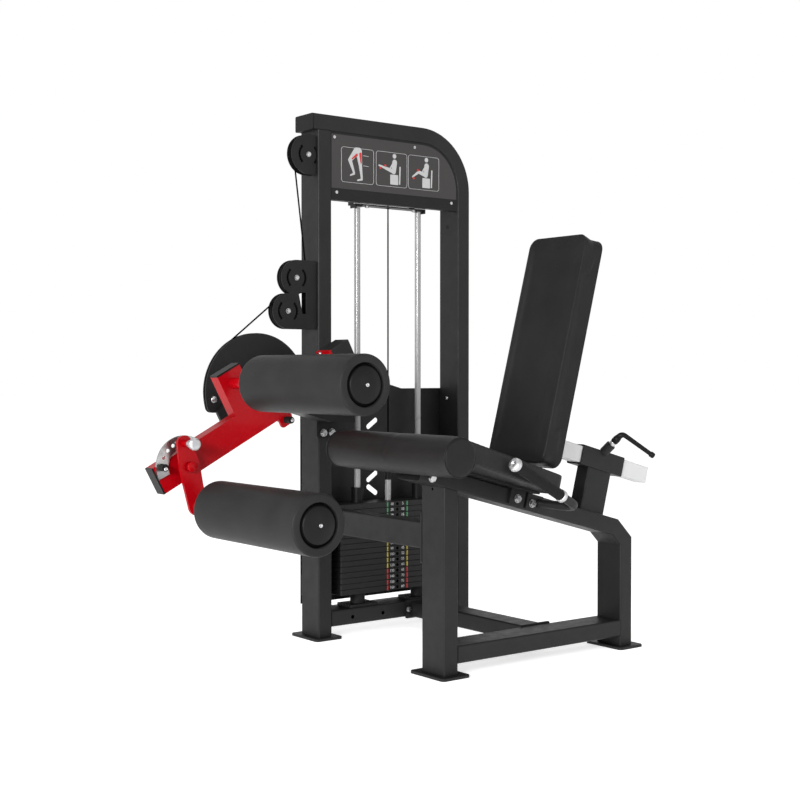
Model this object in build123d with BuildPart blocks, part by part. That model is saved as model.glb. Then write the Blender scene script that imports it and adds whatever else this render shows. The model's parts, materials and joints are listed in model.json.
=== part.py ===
"""Seated leg curl machine with a selectorised weight tower, one solid piece per STEP file.

Lengths are millimetres. Z is up, X runs from the user's feet to the backrest, and Y runs from
the user's right to the weight tower. Distances are laid out from the front post's outer corner
and then shifted, so that the origin is the middle of the machine's footprint on the floor.
"""

import os
from math import asin, atan2, cos, degrees, hypot, pi, radians, sin

from build123d import *

os.makedirs("parts", exist_ok=True)

# Shift from the front post's corner to the middle of the machine's bounding box.
shift_x = -96.2
shift_y = -282.0

# Frame tubes
tube_deep = 100.0
tube_thin = 50.0
wall = 3.0
tube_corner = 5.0
foot_thick = 8.0
foot_size = (100.0, 150.0)
flange = 6.0
hair = 0.3

# Seat side: the seat beam slopes down to the back
seat_slope = 15.0
beam_rise = 576.7
beam_start = -77.0
beam_mitre = 701.1
rear_post_x = 692.0
lower_rail_z = 36.0

# Weight tower
tower_y = 658.0
upright_x = 32.0
tower_right_x = 598.0
tower_under = 1594.0
bend_inner = 150.0
tower_mid_y = tower_y + tube_deep / 2

# Lever, cam and rollers
pivot_x = -182.0
pivot_z = 780.0
lever_tilt = 27.96
arm_near_y = 455.0
arm_far_y = 495.0
arm_height = 80.0
arm_start = -502.0
arm_end = 147.0
pivot_shaft_r = 17.5
cam_r = 178.0
cam_cable_r = 175.2
roller_r = 77.0
roller_near_y = -175.0
roller_far_y = 309.0
roller_shaft_r = 16.0
roller_cap_r = 54.0
thigh_u = -171.0
thigh_n = 123.6
ankle_u = -420.0
ankle_roller_x = -528.5
ankle_roller_z = 474.0
pin_circle = 65.5
arc_plate_y = 449.0
start_circle = 74.0

# Cable and pulleys
cable_r = 2.5
cable_y = 680.5
pulley_r = 51.0
pulley_thick = 18.0
pulley_cable_r = 46.5
axle_r = 6.0
cheek_near_y = 667.0
cheek_far_y = 691.0
cheek_thick = 3.0
lower_idler = (-75.0, 1027.5)
upper_idler = (-43.5, 1131.0)
top_pulley = (1.0, 1514.5)
drop_x = 340.0
cable_joint_z = 1512.0

# Weight stack
stack_x0 = 115.0
stack_x1 = 565.0
stack_y0 = 657.0
stack_y1 = 759.0
stack_base = 130.0
plate_pitch = 18.1
plate_thick = 17.7
plate_rows = 16
lifted_rows = 6
rod_r = 10.0
rod_xs = (216.0, 464.0)
stem_r = 10.0

# Upholstery
seat_mid_y = 50.0
seat_front_s = -130.5
seat_rear_s = 352.0
seat_roll_n = 12.0
seat_roll_r = 52.0
seat_front_half = 269.0
seat_rear_half = 155.0
pad_low = 6.0
seat_bracket = 8.0
pad_top = 64.0
back_s = 287.0
back_thick = 75.0
back_low = 82.0
back_top = 765.0
back_half = 120.5
back_corner = 30.0


# ---------------------------------------------------------------- planes and small helpers


def side_plane(y):
    """Upright plane at depth y that faces -Y: its own axes are X and Z."""
    return Plane(origin=(shift_x, y + shift_y, 0), x_dir=(1, 0, 0), z_dir=(0, -1, 0))


def front_plane(x):
    """Upright plane at x that faces +X: its own axes are Y and Z."""
    return Plane(origin=(x + shift_x, shift_y, 0), x_dir=(0, 1, 0), z_dir=(1, 0, 0))


def floor_plane(z):
    """Level plane at height z: its own axes are X and Y."""
    return Plane(origin=(shift_x, shift_y, z))


def slope_plane(y):
    """Upright plane at depth y with its axes along the seat beam and square to it."""
    run = (cos(radians(seat_slope)), 0, -sin(radians(seat_slope)))
    return Plane(origin=(shift_x, y + shift_y, beam_rise), x_dir=run, z_dir=(0, -1, 0))


def slope_level(n):
    """Plane parallel to the seat beam's top, n above it: its axes run along the beam and Y."""
    lean = (sin(radians(seat_slope)), 0, cos(radians(seat_slope)))
    run = (cos(radians(seat_slope)), 0, -sin(radians(seat_slope)))
    origin = Vector(shift_x, shift_y, beam_rise) + Vector(*lean) * n
    return Plane(origin=origin, x_dir=run, z_dir=lean)


def slope_point(s, n):
    """X and Z of a point s along the seat beam and n above its top."""
    tilt = radians(seat_slope)
    return s * cos(tilt) + n * sin(tilt), beam_rise - s * sin(tilt) + n * cos(tilt)


def lever_plane(y):
    """Upright plane at depth y with its origin on the pivot and its first axis along the arm."""
    run = (cos(radians(lever_tilt)), 0, sin(radians(lever_tilt)))
    origin = (pivot_x + shift_x, y + shift_y, pivot_z)
    return Plane(origin=origin, x_dir=run, z_dir=(0, -1, 0))


def lever_point(u, n):
    """X and Z of a point u along the arm from the pivot and n above it."""
    tilt = radians(lever_tilt)
    return pivot_x + u * cos(tilt) - n * sin(tilt), pivot_z + u * sin(tilt) + n * cos(tilt)


def polar(centre, radius, angle):
    """Point at a radius and an angle in degrees round a centre."""
    return centre[0] + radius * cos(radians(angle)), centre[1] + radius * sin(radians(angle))


def finish(name, part):
    """Labels one piece and writes its STEP file."""
    part.part.label = name
    export_step(part.part, f"parts/{name}.step")


def disc(plane_at, centre, radius, y_near, y_far, bore=0.0):
    """Round piece with its axis along Y, from y_near to y_far, with an optional bore."""
    with BuildPart() as piece:
        with BuildSketch(plane_at(y_near)):
            with Locations(centre):
                Circle(radius)
                if bore:
                    Circle(bore, mode=Mode.SUBTRACT)
        extrude(amount=y_near - y_far)
    return piece.part


def hex_bolt(plane_at, centre, y_near, across=19.0, head=7.0):
    """Hexagon bolt head on a round washer that stands towards -Y from y_near."""
    washer = 1.5
    with BuildPart() as piece:
        with BuildSketch(plane_at(y_near)):
            with Locations(centre):
                Circle(across * 0.63)
        extrude(amount=washer)
        with BuildSketch(plane_at(y_near - washer)):
            with Locations(centre):
                RegularPolygon(across / 2, 6, major_radius=False)
        extrude(amount=head)
        chamfer(piece.faces().sort_by(Axis.Y)[0].edges(), 1.0)
    return piece.part


def rod(plane_at, centre, radius, y_near, y_far):
    """Plain round bar along Y."""
    return disc(plane_at, centre, radius, y_near, y_far)


# ---------------------------------------------------------------- frame tubes


def foot_plates():
    """Four bolted-down feet, one under each upright."""
    with BuildPart() as feet:
        with BuildSketch(floor_plane(0)):
            for x, y in (
                (tube_thin / 2, tube_deep / 2),
                (rear_post_x + tube_thin / 2, tube_deep / 2),
                (upright_x + tube_thin / 2, tower_mid_y),
                (tower_right_x + tube_thin / 2, tower_mid_y),
            ):
                with Locations((x, y)):
                    RectangleRounded(*foot_size, 12)
        extrude(amount=foot_thick)
        chamfer(feet.faces().filter_by(Axis.Z).group_by(Axis.Z)[-1].edges(), 1.0)
    finish("foot_plates", feet)


def hollow_rectangle(width, height):
    """Tube section round the current location."""
    RectangleRounded(width, height, tube_corner)
    RectangleRounded(width - 2 * wall, height - 2 * wall, tube_corner - wall + 1, mode=Mode.SUBTRACT)


def tower_upright():
    """Front tower post, slotted where the top pulley and its cable pass through."""
    slot_low = 1462.0
    slot_high = 1574.0
    slot_half = 12.5
    with BuildPart() as post:
        with BuildSketch(floor_plane(foot_thick)):
            with Locations((upright_x + tube_thin / 2, tower_mid_y)):
                hollow_rectangle(tube_thin, tube_deep)
        extrude(amount=tower_under - foot_thick)
        with BuildSketch(front_plane(upright_x - 1)):
            with Locations((cable_y, (slot_low + slot_high) / 2)):
                SlotOverall(slot_high - slot_low, 2 * slot_half, rotation=90)
        extrude(amount=tube_thin / 2, mode=Mode.SUBTRACT)
        with BuildSketch(front_plane(upright_x + tube_thin / 2)):
            with Locations((cable_y + 1, top_pulley[1] + pulley_cable_r)):
                Rectangle(20, 26)
        extrude(amount=tube_thin, mode=Mode.SUBTRACT)
    finish("tower_upright", post)


def tower_bent_tube():
    """Top beam and rear tower post, bent from one tube."""
    top_z = tower_under + tube_thin / 2
    bend_r = bend_inner + tube_thin / 2
    bend_x = tower_right_x - bend_inner
    start_x = 16.0
    with BuildPart() as bent:
        with BuildLine(side_plane(tower_mid_y)):
            top = Line((start_x, top_z), (bend_x, top_z))
            bend = CenterArc((bend_x, tower_under - bend_inner), bend_r, 90, -90)
            Line(bend @ 1, (tower_right_x + tube_thin / 2, foot_thick))
        with BuildSketch(Plane(origin=top @ 0, x_dir=(0, 1, 0), z_dir=(1, 0, 0))):
            hollow_rectangle(tube_deep, tube_thin)
        sweep()
    finish("tower_bent_tube", bent)


def tower_base_beam():
    """Beam between the tower feet: two bolt holes in its face and a pad plate under each rod."""
    beam_low = 36.0
    hole_r = 6.5
    hole_z = 59.5
    pad_size = (110.0, 80.0)
    with BuildPart() as beam:
        with BuildSketch(front_plane(upright_x + tube_thin)):
            with Locations((tower_mid_y, beam_low + tube_thin / 2)):
                hollow_rectangle(tube_deep, tube_thin)
        extrude(amount=tower_right_x - upright_x - tube_thin)
        with BuildSketch(side_plane(tower_y - 1)):
            for x in (161.9, 282.4):
                with Locations((x, hole_z)):
                    Circle(hole_r)
        extrude(amount=-tube_thin / 2, mode=Mode.SUBTRACT)
        with BuildSketch(floor_plane(beam_low + tube_thin)):
            for x in rod_xs:
                with Locations((x, tower_mid_y)):
                    RectangleRounded(*pad_size, 6)
        extrude(amount=foot_thick)
    finish("tower_base_beam", beam)


def front_post():
    """Post under the seat beam, cut to the beam's slope, with a drain hole near its top."""
    with BuildPart() as post:
        with BuildSketch(floor_plane(foot_thick)):
            with Locations((tube_thin / 2, tube_deep / 2)):
                hollow_rectangle(tube_thin, tube_deep)
        extrude(amount=beam_rise)
        split(bisect_by=slope_level(-tube_thin), keep=Keep.BOTTOM)
        with BuildSketch(front_plane(-1)):
            with Locations((52.0, 518.0)):
                Circle(4.0)
        extrude(amount=tube_thin / 4, mode=Mode.SUBTRACT)
    finish("front_post", post)


def rear_corner():
    """Points of the seat side's centreline from the beam's end, round the mitred corner, down."""
    start = slope_point(beam_mitre, -tube_thin / 2)
    below = (rear_post_x + tube_thin / 2, 325.7)
    return start, below, (rear_post_x + tube_thin / 2, foot_thick)


def mitre_plane():
    """Plane that halves the corner between the seat beam and the rear leg."""
    start, below, _ = rear_corner()
    down = degrees(atan2(start[1] - below[1], below[0] - start[0]))
    half = radians((down + seat_slope) / 2)
    origin = (start[0] + shift_x, tube_deep / 2 + shift_y, start[1])
    return Plane(origin=origin, x_dir=(0, 1, 0), z_dir=(cos(half), 0, -sin(half)))


def seat_beam():
    """Sloping beam that carries the seat, square at the front and mitred at the back."""
    with BuildPart() as beam:
        front = slope_plane(tube_deep / 2)
        origin = front.from_local_coords((beam_start, -tube_thin / 2, 0))
        with BuildSketch(Plane(origin=origin, x_dir=(0, 1, 0), z_dir=front.x_dir)):
            hollow_rectangle(tube_deep, tube_thin)
        extrude(amount=beam_mitre - beam_start + tube_thin)
        split(bisect_by=mitre_plane(), keep=Keep.BOTTOM)
    finish("seat_beam", beam)


def rear_post():
    """Rear leg with its mitred shoulder."""
    start, below, foot = rear_corner()
    back = 40.0
    length = hypot(below[0] - start[0], below[1] - start[1])
    step = ((below[0] - start[0]) / length, (below[1] - start[1]) / length)
    lead = (start[0] - step[0] * back, start[1] - step[1] * back)
    with BuildPart() as leg:
        with BuildLine(side_plane(tube_deep / 2)):
            shoulder = Line(lead, below)
            Line(below, foot)
        along = Plane(origin=shoulder @ 0, x_dir=(0, 1, 0), z_dir=shoulder % 0)
        with BuildSketch(along):
            hollow_rectangle(tube_deep, tube_thin)
        sweep(transition=Transition.RIGHT)
        split(bisect_by=mitre_plane(), keep=Keep.TOP)
    finish("rear_post", leg)


def lower_beam():
    """Rail between the front post and the rear leg."""
    with BuildPart() as rail:
        with BuildSketch(front_plane(tube_thin)):
            with Locations((tube_deep / 2, lower_rail_z + tube_thin / 2)):
                hollow_rectangle(tube_deep, tube_thin)
        extrude(amount=rear_post_x - tube_thin)
    finish("lower_beam", rail)


def cross_beam(name, tube_x, tube_z, near_plate, far_plate):
    """Tube along Y from the seat side to the tower with a welded flange at each end."""
    near_y = tube_deep
    far_y = tower_y
    with BuildPart() as beam:
        with BuildSketch(side_plane(near_y + flange)):
            with Locations((sum(tube_x) / 2, sum(tube_z) / 2)):
                hollow_rectangle(tube_x[1] - tube_x[0], tube_z[1] - tube_z[0])
        extrude(amount=near_y + 2 * flange - far_y)
        for y, (x0, x1, z0, z1) in ((near_y, near_plate), (far_y - flange, far_plate)):
            with BuildSketch(side_plane(y)):
                with Locations(((x0 + x1) / 2, (z0 + z1) / 2)):
                    RectangleRounded(x1 - x0, z1 - z0, 4)
            extrude(amount=-flange)
    finish(name, beam)


def back_support_post():
    """Short post that stands on the seat beam and carries the backrest's sleeve."""
    with BuildPart() as post:
        with BuildSketch(slope_level(0)):
            with Locations((615.0, seat_mid_y)):
                hollow_rectangle(tube_deep, tube_thin)
        extrude(amount=130.0)
    finish("back_support_post", post)


def slope_section(s, n):
    """Plane square to the seat beam at s, centred at height n over the seat's middle."""
    side = slope_plane(seat_mid_y)
    return Plane(origin=side.from_local_coords((s, n, 0)), x_dir=(0, 1, 0), z_dir=side.x_dir)


def clamp_axis_plane(distance):
    """Plane square to the clamp screw, a distance out from the sleeve's top near edge."""
    side = slope_plane(20.0)
    lean = (side.y_dir - Vector(0, 1, 0)).normalized()
    origin = side.from_local_coords((615.0, 190.0, 0)) + lean * distance
    return Plane(origin=origin, x_dir=side.x_dir, z_dir=lean)


def slide_sleeve():
    """Square sleeve that the backrest's tube slides in, with a threaded boss for the clamp."""
    with BuildPart() as sleeve:
        with BuildSketch(slope_section(525.0, 160.0)):
            RectangleRounded(60, 60, 4)
        extrude(amount=180.0)
        with BuildSketch(clamp_axis_plane(-4.0)):
            Circle(15.0)
        extrude(amount=32.0)
        with BuildSketch(slope_section(525.0, 160.0)):
            RectangleRounded(50.8, 50.8, 3)
        extrude(amount=180.0, mode=Mode.SUBTRACT)
        with BuildSketch(clamp_axis_plane(-12.0)):
            Circle(6.05)
        extrude(amount=60.0, mode=Mode.SUBTRACT)
    finish("slide_sleeve", sleeve)


def tube_end_caps():
    """Black plastic plugs in the open ends of the top beam and the seat beam."""
    cap = 4.0
    with BuildPart() as caps:
        with BuildSketch(front_plane(16.0)):
            with Locations((tower_mid_y, tower_under + tube_thin / 2)):
                RectangleRounded(tube_deep, tube_thin, tube_corner)
        extrude(amount=-cap)
        with BuildSketch(slope_section(beam_start, -tube_thin / 2)):
            RectangleRounded(tube_deep, tube_thin, tube_corner)
        extrude(amount=-1.5)
    finish("tube_end_caps", caps)


# ---------------------------------------------------------------- tower fittings


def sign_panel():
    """Sheet panel that fills the tower's top corner, with a folded lip along its bottom."""
    low = 1380.0
    gap = 0.4
    left = upright_x + tube_thin + gap
    right = tower_right_x - gap
    top = tower_under - gap
    bend = (tower_right_x - bend_inner, tower_under - bend_inner)
    with BuildPart() as panel:
        with BuildSketch(side_plane(661.0)):
            with BuildLine():
                Line((left, low), (right, low))
                Line((right, low), (right, bend[1]))
                CenterArc(bend, bend_inner - gap, 0, 90)
                Line((bend[0], top), (left, top))
                Line((left, top), (left, low))
            make_face()
        extrude(amount=-3.0)
        with BuildSketch(floor_plane(low)):
            with Locations(((left + right) / 2, 672.5)):
                Rectangle(right - left, 23)
        extrude(amount=3.0)
    finish("sign_panel", panel)


def rear_shroud():
    """Sheet guard behind the stack with a raised middle and slanted lightening slots."""
    sheet_y = 764.0
    low = 100.0
    high = 785.0
    crest = 798.0
    left = 34.0
    right = 646.0
    middle = (left + right) / 2
    crest_half = 50.0
    step_half = 98.0
    with BuildPart() as shroud:
        with BuildSketch(side_plane(sheet_y)):
            with BuildLine():
                Polyline(
                    (left, low),
                    (right, low),
                    (right, high),
                    (middle + step_half, high),
                    (middle + crest_half, crest),
                    (middle - crest_half, crest),
                    (middle - step_half, high),
                    (left, high),
                    close=True,
                )
            make_face()
            for row in range(6):
                with Locations((316.0, 450.0 + row * 44.0)):
                    SlotOverall(52, 17, rotation=35 if row % 2 else -35, mode=Mode.SUBTRACT)
        extrude(amount=-3.0)
        with BuildSketch(side_plane(tower_y + tube_deep)):
            for x in (upright_x + tube_thin / 2, tower_right_x + tube_thin / 2 - 2):
                for z in (160.0, 674.0):
                    with Locations((x, z)):
                        RectangleRounded(44, 70, 4)
        extrude(amount=tower_y + tube_deep - sheet_y)
    finish("rear_shroud", shroud)


def guide_rods():
    """Two chromed rods that the stack slides on."""
    with BuildPart() as rods:
        with BuildSketch(floor_plane(94.0)):
            for x in rod_xs:
                with Locations((x, tower_mid_y)):
                    Circle(rod_r)
        extrude(amount=1376.0 - 94.0)
    finish("guide_rods", rods)


def rod_top_channel():
    """Folded bracket that holds the rods' tops, hung from the top beam on two straps."""
    low = 1366.0
    high = 1380.0
    sheet = 4.0
    left = 196.0
    right = 479.0
    with BuildPart() as channel:
        with BuildSketch(floor_plane(high - sheet)):
            with Locations(((left + right) / 2, tower_mid_y)):
                Rectangle(right - left + sheet, 40)
        extrude(amount=sheet)
        with BuildSketch(floor_plane(low)):
            for x in (left, right):
                with Locations((x, tower_mid_y - 6)):
                    Rectangle(sheet, 28)
        extrude(amount=high - low)
        with BuildSketch(floor_plane(high)):
            for x in (left, 444.0):
                with Locations((x, tower_mid_y + 7)):
                    Rectangle(sheet, 26)
        extrude(amount=tower_under - high)
        with BuildSketch(floor_plane(high - 2 * sheet)):
            for x in rod_xs:
                with Locations((x, tower_mid_y)):
                    Circle(rod_r + 8)
                    Circle(rod_r, mode=Mode.SUBTRACT)
        extrude(amount=sheet)
        with BuildSketch(floor_plane(low - 1)):
            with Locations((drop_x, tower_mid_y)):
                Circle(9)
        extrude(amount=high - low + 2, mode=Mode.SUBTRACT)
    finish("rod_top_channel", channel)


def stack_bumpers():
    """Rubber rings at the foot of the rods that the stack rests on."""
    with BuildPart() as bumpers:
        with BuildSketch(floor_plane(94.0)):
            for x in rod_xs:
                with Locations((x, tower_mid_y)):
                    Circle(24)
                    Circle(rod_r, mode=Mode.SUBTRACT)
        extrude(amount=stack_base - 94.0)
    finish("stack_bumpers", bumpers)


def pulley_cheek(y_near, centres, disc_r, window):
    """Plate beside the pulleys: a disc round each centre that runs on to the upright."""
    arc_r = 33.0
    slot_r = 4.5
    with BuildPart() as cheek:
        with BuildSketch(side_plane(y_near)) as cheek_face:
            for x, z in centres:
                with Locations((x, z)):
                    Circle(disc_r)
                with Locations(((x + upright_x) / 2, z)):
                    Rectangle(upright_x - x, 2 * disc_r)
                with Locations((upright_x + disc_r, z)):
                    Rectangle(2 * disc_r, 3 * disc_r, mode=Mode.SUBTRACT)
            fillet(cheek_face.vertices().group_by(Axis.X)[-1], 8)
            for centre in centres:
                with Locations(centre):
                    Circle(axle_r, mode=Mode.SUBTRACT)
                for facing in (0, 180):
                    for step in range(-3, 4):
                        with Locations(polar(centre, arc_r, facing + 14 * step)):
                            Circle(slot_r, mode=Mode.SUBTRACT)
            if window:
                with BuildLine():
                    Polyline(*window, close=True)
                make_face(mode=Mode.SUBTRACT)
        extrude(amount=-cheek_thick)
    return cheek.part


def pulley_bracket(name, centres, disc_r, window=()):
    """Two cheeks on the tower upright, joined by a back plate where they carry two pulleys."""
    zs = [z for _, z in centres]
    with BuildPart() as bracket:
        add(pulley_cheek(cheek_near_y, centres, disc_r, window))
        add(pulley_cheek(cheek_far_y, centres, disc_r, window))
        if len(centres) > 1:
            with BuildSketch(side_plane(cheek_near_y + cheek_thick)):
                with Locations((upright_x - 3, sum(zs) / 2)):
                    Rectangle(6, max(zs) - min(zs) + disc_r)
            extrude(amount=cheek_near_y + cheek_thick - cheek_far_y)
    finish(name, bracket)


def yaw():
    """Turn of the inner pulley about Z that carries the cable from its plane to the stack's."""
    reach = drop_x - upright_x - tube_thin
    return degrees(atan2(tower_mid_y - cable_y, reach + 17.0))


def inner_pulley_plane(offset):
    """Plane of the inner pulley, offset along its axis towards the sign panel."""
    turn = radians(yaw())
    side = Vector(sin(turn), -cos(turn), 0)
    along = Vector(cos(turn), sin(turn), 0)
    drop = Vector(drop_x + shift_x, tower_mid_y + shift_y, top_pulley[1])
    return Plane(
        origin=drop - along * pulley_cable_r + side * offset,
        x_dir=along,
        z_dir=side,
    )


def stack_pulley_bracket():
    """Clevis under the top beam for the pulley over the stack."""
    with BuildPart() as bracket:
        for offset in (-cheek_thick - 11.5, 11.5):
            with BuildSketch(inner_pulley_plane(offset)):
                Rectangle(44, 150)
                Circle(axle_r, mode=Mode.SUBTRACT)
            extrude(amount=cheek_thick)
        split(bisect_by=floor_plane(tower_under), keep=Keep.BOTTOM)
    finish("stack_pulley_bracket", bracket)


def pivot_bracket():
    """Box arm from the tower upright that carries the lever's bearing housing."""
    housing_r = 45.0
    bearing_r = 31.0
    with BuildPart() as bracket:
        with BuildSketch(side_plane(650.0)):
            with Locations((60.0, 767.5)):
                RectangleRounded(80, 265, 6)
        extrude(amount=-8.0)
        with BuildSketch(side_plane(560.0)):
            with BuildLine():
                Polyline(
                    (100, 684), (14, 688), (-165, 738), (-165, 825), (100, 860), close=True
                )
            make_face()
        extrude(amount=-90.0)
        with BuildSketch(side_plane(520.0)):
            with Locations((pivot_x, pivot_z)):
                Circle(housing_r)
        extrude(amount=-135.0)
        with BuildSketch(side_plane(519.0)):
            with Locations((pivot_x, pivot_z)):
                Circle(bearing_r)
        extrude(amount=-137.0, mode=Mode.SUBTRACT)
    finish("pivot_bracket", bracket)


def pivot_bearings():
    """Two bearings pressed in the housing's ends."""
    centre = (pivot_x, pivot_z)
    with BuildPart() as bearings:
        add(disc(side_plane, centre, 31.0, 520.0, 540.0, pivot_shaft_r + 0.05))
        add(disc(side_plane, centre, 31.0, 635.0, 655.0, pivot_shaft_r + 0.05))
    finish("pivot_bearings", bearings)


def frame_bolts():
    """Bolts, axle screws and sign screws of the frame."""
    near_faces = (
        ((44.6, 650.0), 650.0),
        ((76.0, 651.0), 650.0),
        ((44.6, 882.0), 650.0),
        ((76.0, 882.0), 650.0),
        ((57.0, 324.0), tower_y - flange),
        ((57.0, 438.0), tower_y - flange),
        ((-43.4, 553.6), 0.0),
    )
    with BuildPart() as bolts:
        for centre, y in near_faces:
            add(hex_bolt(side_plane, centre, y))
        for s, n in ((277.0, -25.0), (336.0, -27.0)):
            add(hex_bolt(side_plane, slope_point(s, n), -8.0))
        for centre in (lower_idler, upper_idler, top_pulley):
            add(rod(side_plane, centre, axle_r, cheek_near_y, cheek_far_y + cheek_thick))
            add(hex_bolt(side_plane, centre, cheek_near_y, across=13.0, head=5.0))
        with BuildSketch(inner_pulley_plane(-cheek_thick - 13.0)):
            Circle(axle_r)
        extrude(amount=26.0 + 2 * cheek_thick)
        for x, z in ((94.0, 1577.0), (413.0, 1576.0), (102.0, 1405.0), (569.0, 1405.0)):
            add(disc(side_plane, (x, z), 5.0, 658.6, 661.0))
        for z in (324.0, 438.0):
            add(disc(side_plane, (25.0, z), 11.0, tube_deep + flange, tube_deep + flange + 8))
        for x in (382.5, 481.5):
            add(hex_bolt(side_plane, (x, 61.0), tower_y - flange, across=14.0, head=6.0))
            add(disc(side_plane, (x, 61.0), 7.0, tube_deep + flange, tube_deep + flange + 8))
    finish("frame_bolts", bolts)


# ---------------------------------------------------------------- cable route


def cable_lines():
    """Corner points of the guided cable from the cam to the stack, and a radius for each."""
    cam = (pivot_x, pivot_z)
    wheels = (
        (cam, cam_cable_r, 1),
        (lower_idler, pulley_cable_r, 1),
        (upper_idler, pulley_cable_r, -1),
        (top_pulley, pulley_cable_r, 1),
    )
    lines = []
    for (a, ra, side_a), (b, rb, side_b) in zip(wheels, wheels[1:]):
        gap = hypot(b[0] - a[0], b[1] - a[1])
        bearing = atan2(b[1] - a[1], b[0] - a[0])
        heading = bearing - asin((side_a * ra - side_b * rb) / gap)
        start = polar(a, ra, degrees(heading) + 90 * side_a)
        lines.append((start, heading))
    lines.append(((top_pulley[0], top_pulley[1] + pulley_cable_r), 0.0))
    corners = []
    for (p, heading_p), (q, heading_q) in zip(lines, lines[1:]):
        along = (q[0] - p[0]) * sin(heading_q) - (q[1] - p[1]) * cos(heading_q)
        along /= sin(heading_q - heading_p)
        corners.append((p[0] + along * cos(heading_p), p[1] + along * sin(heading_p)))
    return lines[0], corners


def guide_cable():
    """Fixed stretch of the lift cable: over three pulleys, through the upright, over the last."""
    clear_of_cam = 44.0
    (start, heading), corners = cable_lines()
    top_z = top_pulley[1] + pulley_cable_r
    turn = radians(yaw())
    yaw_x = drop_x - (tower_mid_y - cable_y) / (sin(turn) / cos(turn))
    points = [(*polar(start, clear_of_cam, degrees(heading)), cable_y)]
    points += [(x, z, cable_y) for x, z in corners]
    points += [(yaw_x, top_z, cable_y), (drop_x, top_z, tower_mid_y)]
    points += [(drop_x, cable_joint_z, tower_mid_y)]
    route = [Vector(x + shift_x, y + shift_y, z) for x, z, y in points]
    radii = [pulley_cable_r] * len(corners) + [200.0, pulley_cable_r]
    with BuildPart() as cable:
        with BuildLine():
            line = FilletPolyline(*route, radius=radii)
        with BuildSketch(Plane(origin=line @ 0, z_dir=line % 0)):
            Circle(cable_r)
        sweep(path=line)
    wanted = line.length * pi * cable_r**2
    print(f"guide cable {line.length:.0f} mm, volume ratio {cable.part.volume / wanted:.4f}")
    finish("guide_cable", cable)


def cam_cable():
    """Cable in the cam's groove, from its anchor round the arc that the curl winds up."""
    (_, heading), _ = cable_lines()
    leave = degrees(heading) + 90
    with BuildPart() as cable:
        with BuildLine(side_plane(cable_y)):
            arc = CenterArc((pivot_x, pivot_z), cam_cable_r, 188, leave - 60 - 188)
        with BuildSketch(Plane(origin=arc @ 0, z_dir=arc % 0)):
            Circle(cable_r)
        sweep()
    finish("cam_cable", cable)


# ---------------------------------------------------------------- weight stack


def row_base(row):
    """Height of a stack row's underside, the top plate being row 0."""
    return stack_base + (plate_rows - 1 - row) * plate_pitch


def stack_plate(row):
    """One cast plate with rod holes, a stem hole and a hole for the selector pin."""
    base = row_base(row)
    with BuildPart() as plate:
        with BuildSketch(floor_plane(base)):
            with Locations(((stack_x0 + stack_x1) / 2, (stack_y0 + stack_y1) / 2)):
                RectangleRounded(stack_x1 - stack_x0, stack_y1 - stack_y0, 5)
            for x in rod_xs:
                with Locations((x, tower_mid_y)):
                    Circle(rod_r + 1, mode=Mode.SUBTRACT)
            with Locations((drop_x, tower_mid_y)):
                Circle(stem_r + 1, mode=Mode.SUBTRACT)
        extrude(amount=plate_thick)
        levels = plate.faces().filter_by(Axis.Z)
        chamfer([edge for face in levels for edge in face.outer_wire().edges()], 1.0)
        with BuildSketch(side_plane(stack_y0 - 1)):
            with Locations((drop_x, base + plate_thick / 2)):
                Circle(5.5)
        extrude(amount=stack_y0 - 1 - tower_mid_y, mode=Mode.SUBTRACT)
    return plate.part


def stack_plates():
    """Top plate, the plates that the pin picks up, and the plates left on the bumpers."""
    groups = (
        ("top_plate", range(0, 1)),
        ("lifted_plates", range(1, lifted_rows)),
        ("resting_plates", range(lifted_rows, plate_rows)),
    )
    for name, rows in groups:
        with BuildPart() as group:
            for row in rows:
                add(stack_plate(row))
        finish(name, group)


def selector_stem():
    """Chromed stem through the stack that the pin locks to."""
    with BuildPart() as stem:
        with BuildSketch(floor_plane(121.0)):
            with Locations((drop_x, tower_mid_y)):
                Circle(stem_r)
        extrude(amount=486.0 - 121.0)
        with BuildSketch(side_plane(tower_mid_y - stem_r - 1)):
            for row in range(1, plate_rows):
                with Locations((drop_x, row_base(row) + plate_thick / 2)):
                    Circle(5.5)
        extrude(amount=-2 * stem_r - 2, mode=Mode.SUBTRACT)
    finish("selector_stem", stem)


def stack_fittings():
    """Guide bushings on the top plate and the fitting that joins the cable to the stem."""
    top = row_base(0) + plate_thick
    with BuildPart() as fittings:
        with BuildSketch(floor_plane(top)):
            for x in rod_xs:
                with Locations((x, tower_mid_y)):
                    Circle(19.5)
                    Circle(rod_r + 0.05, mode=Mode.SUBTRACT)
        extrude(amount=48.0)
        with BuildSketch(floor_plane(486.0)):
            with Locations((drop_x, tower_mid_y)):
                Circle(10.5)
        extrude(amount=25.0)
    finish("stack_fittings", fittings)


def stack_cable():
    """Straight cable from the stem's fitting up to the inner pulley."""
    with BuildPart() as cable:
        with BuildSketch(floor_plane(511.0)):
            with Locations((drop_x, tower_mid_y)):
                Circle(cable_r)
        extrude(amount=cable_joint_z - 511.0)
    finish("stack_cable", cable)


def selector_pin():
    """Pull pin with a round knob in the last lifted plate."""
    centre = (drop_x, row_base(lifted_rows - 1) + plate_thick / 2)
    with BuildPart() as pin:
        add(rod(side_plane, centre, 5.0, stack_y0 - 8.0, tower_mid_y + stem_r - 1.5))
        add(rod(side_plane, centre, 13.0, stack_y0 - 34.0, stack_y0 - 8.0))
        chamfer(pin.faces().sort_by(Axis.Y)[0].edges(), 3.0)
    finish("selector_pin", pin)


# ---------------------------------------------------------------- pulleys


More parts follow.
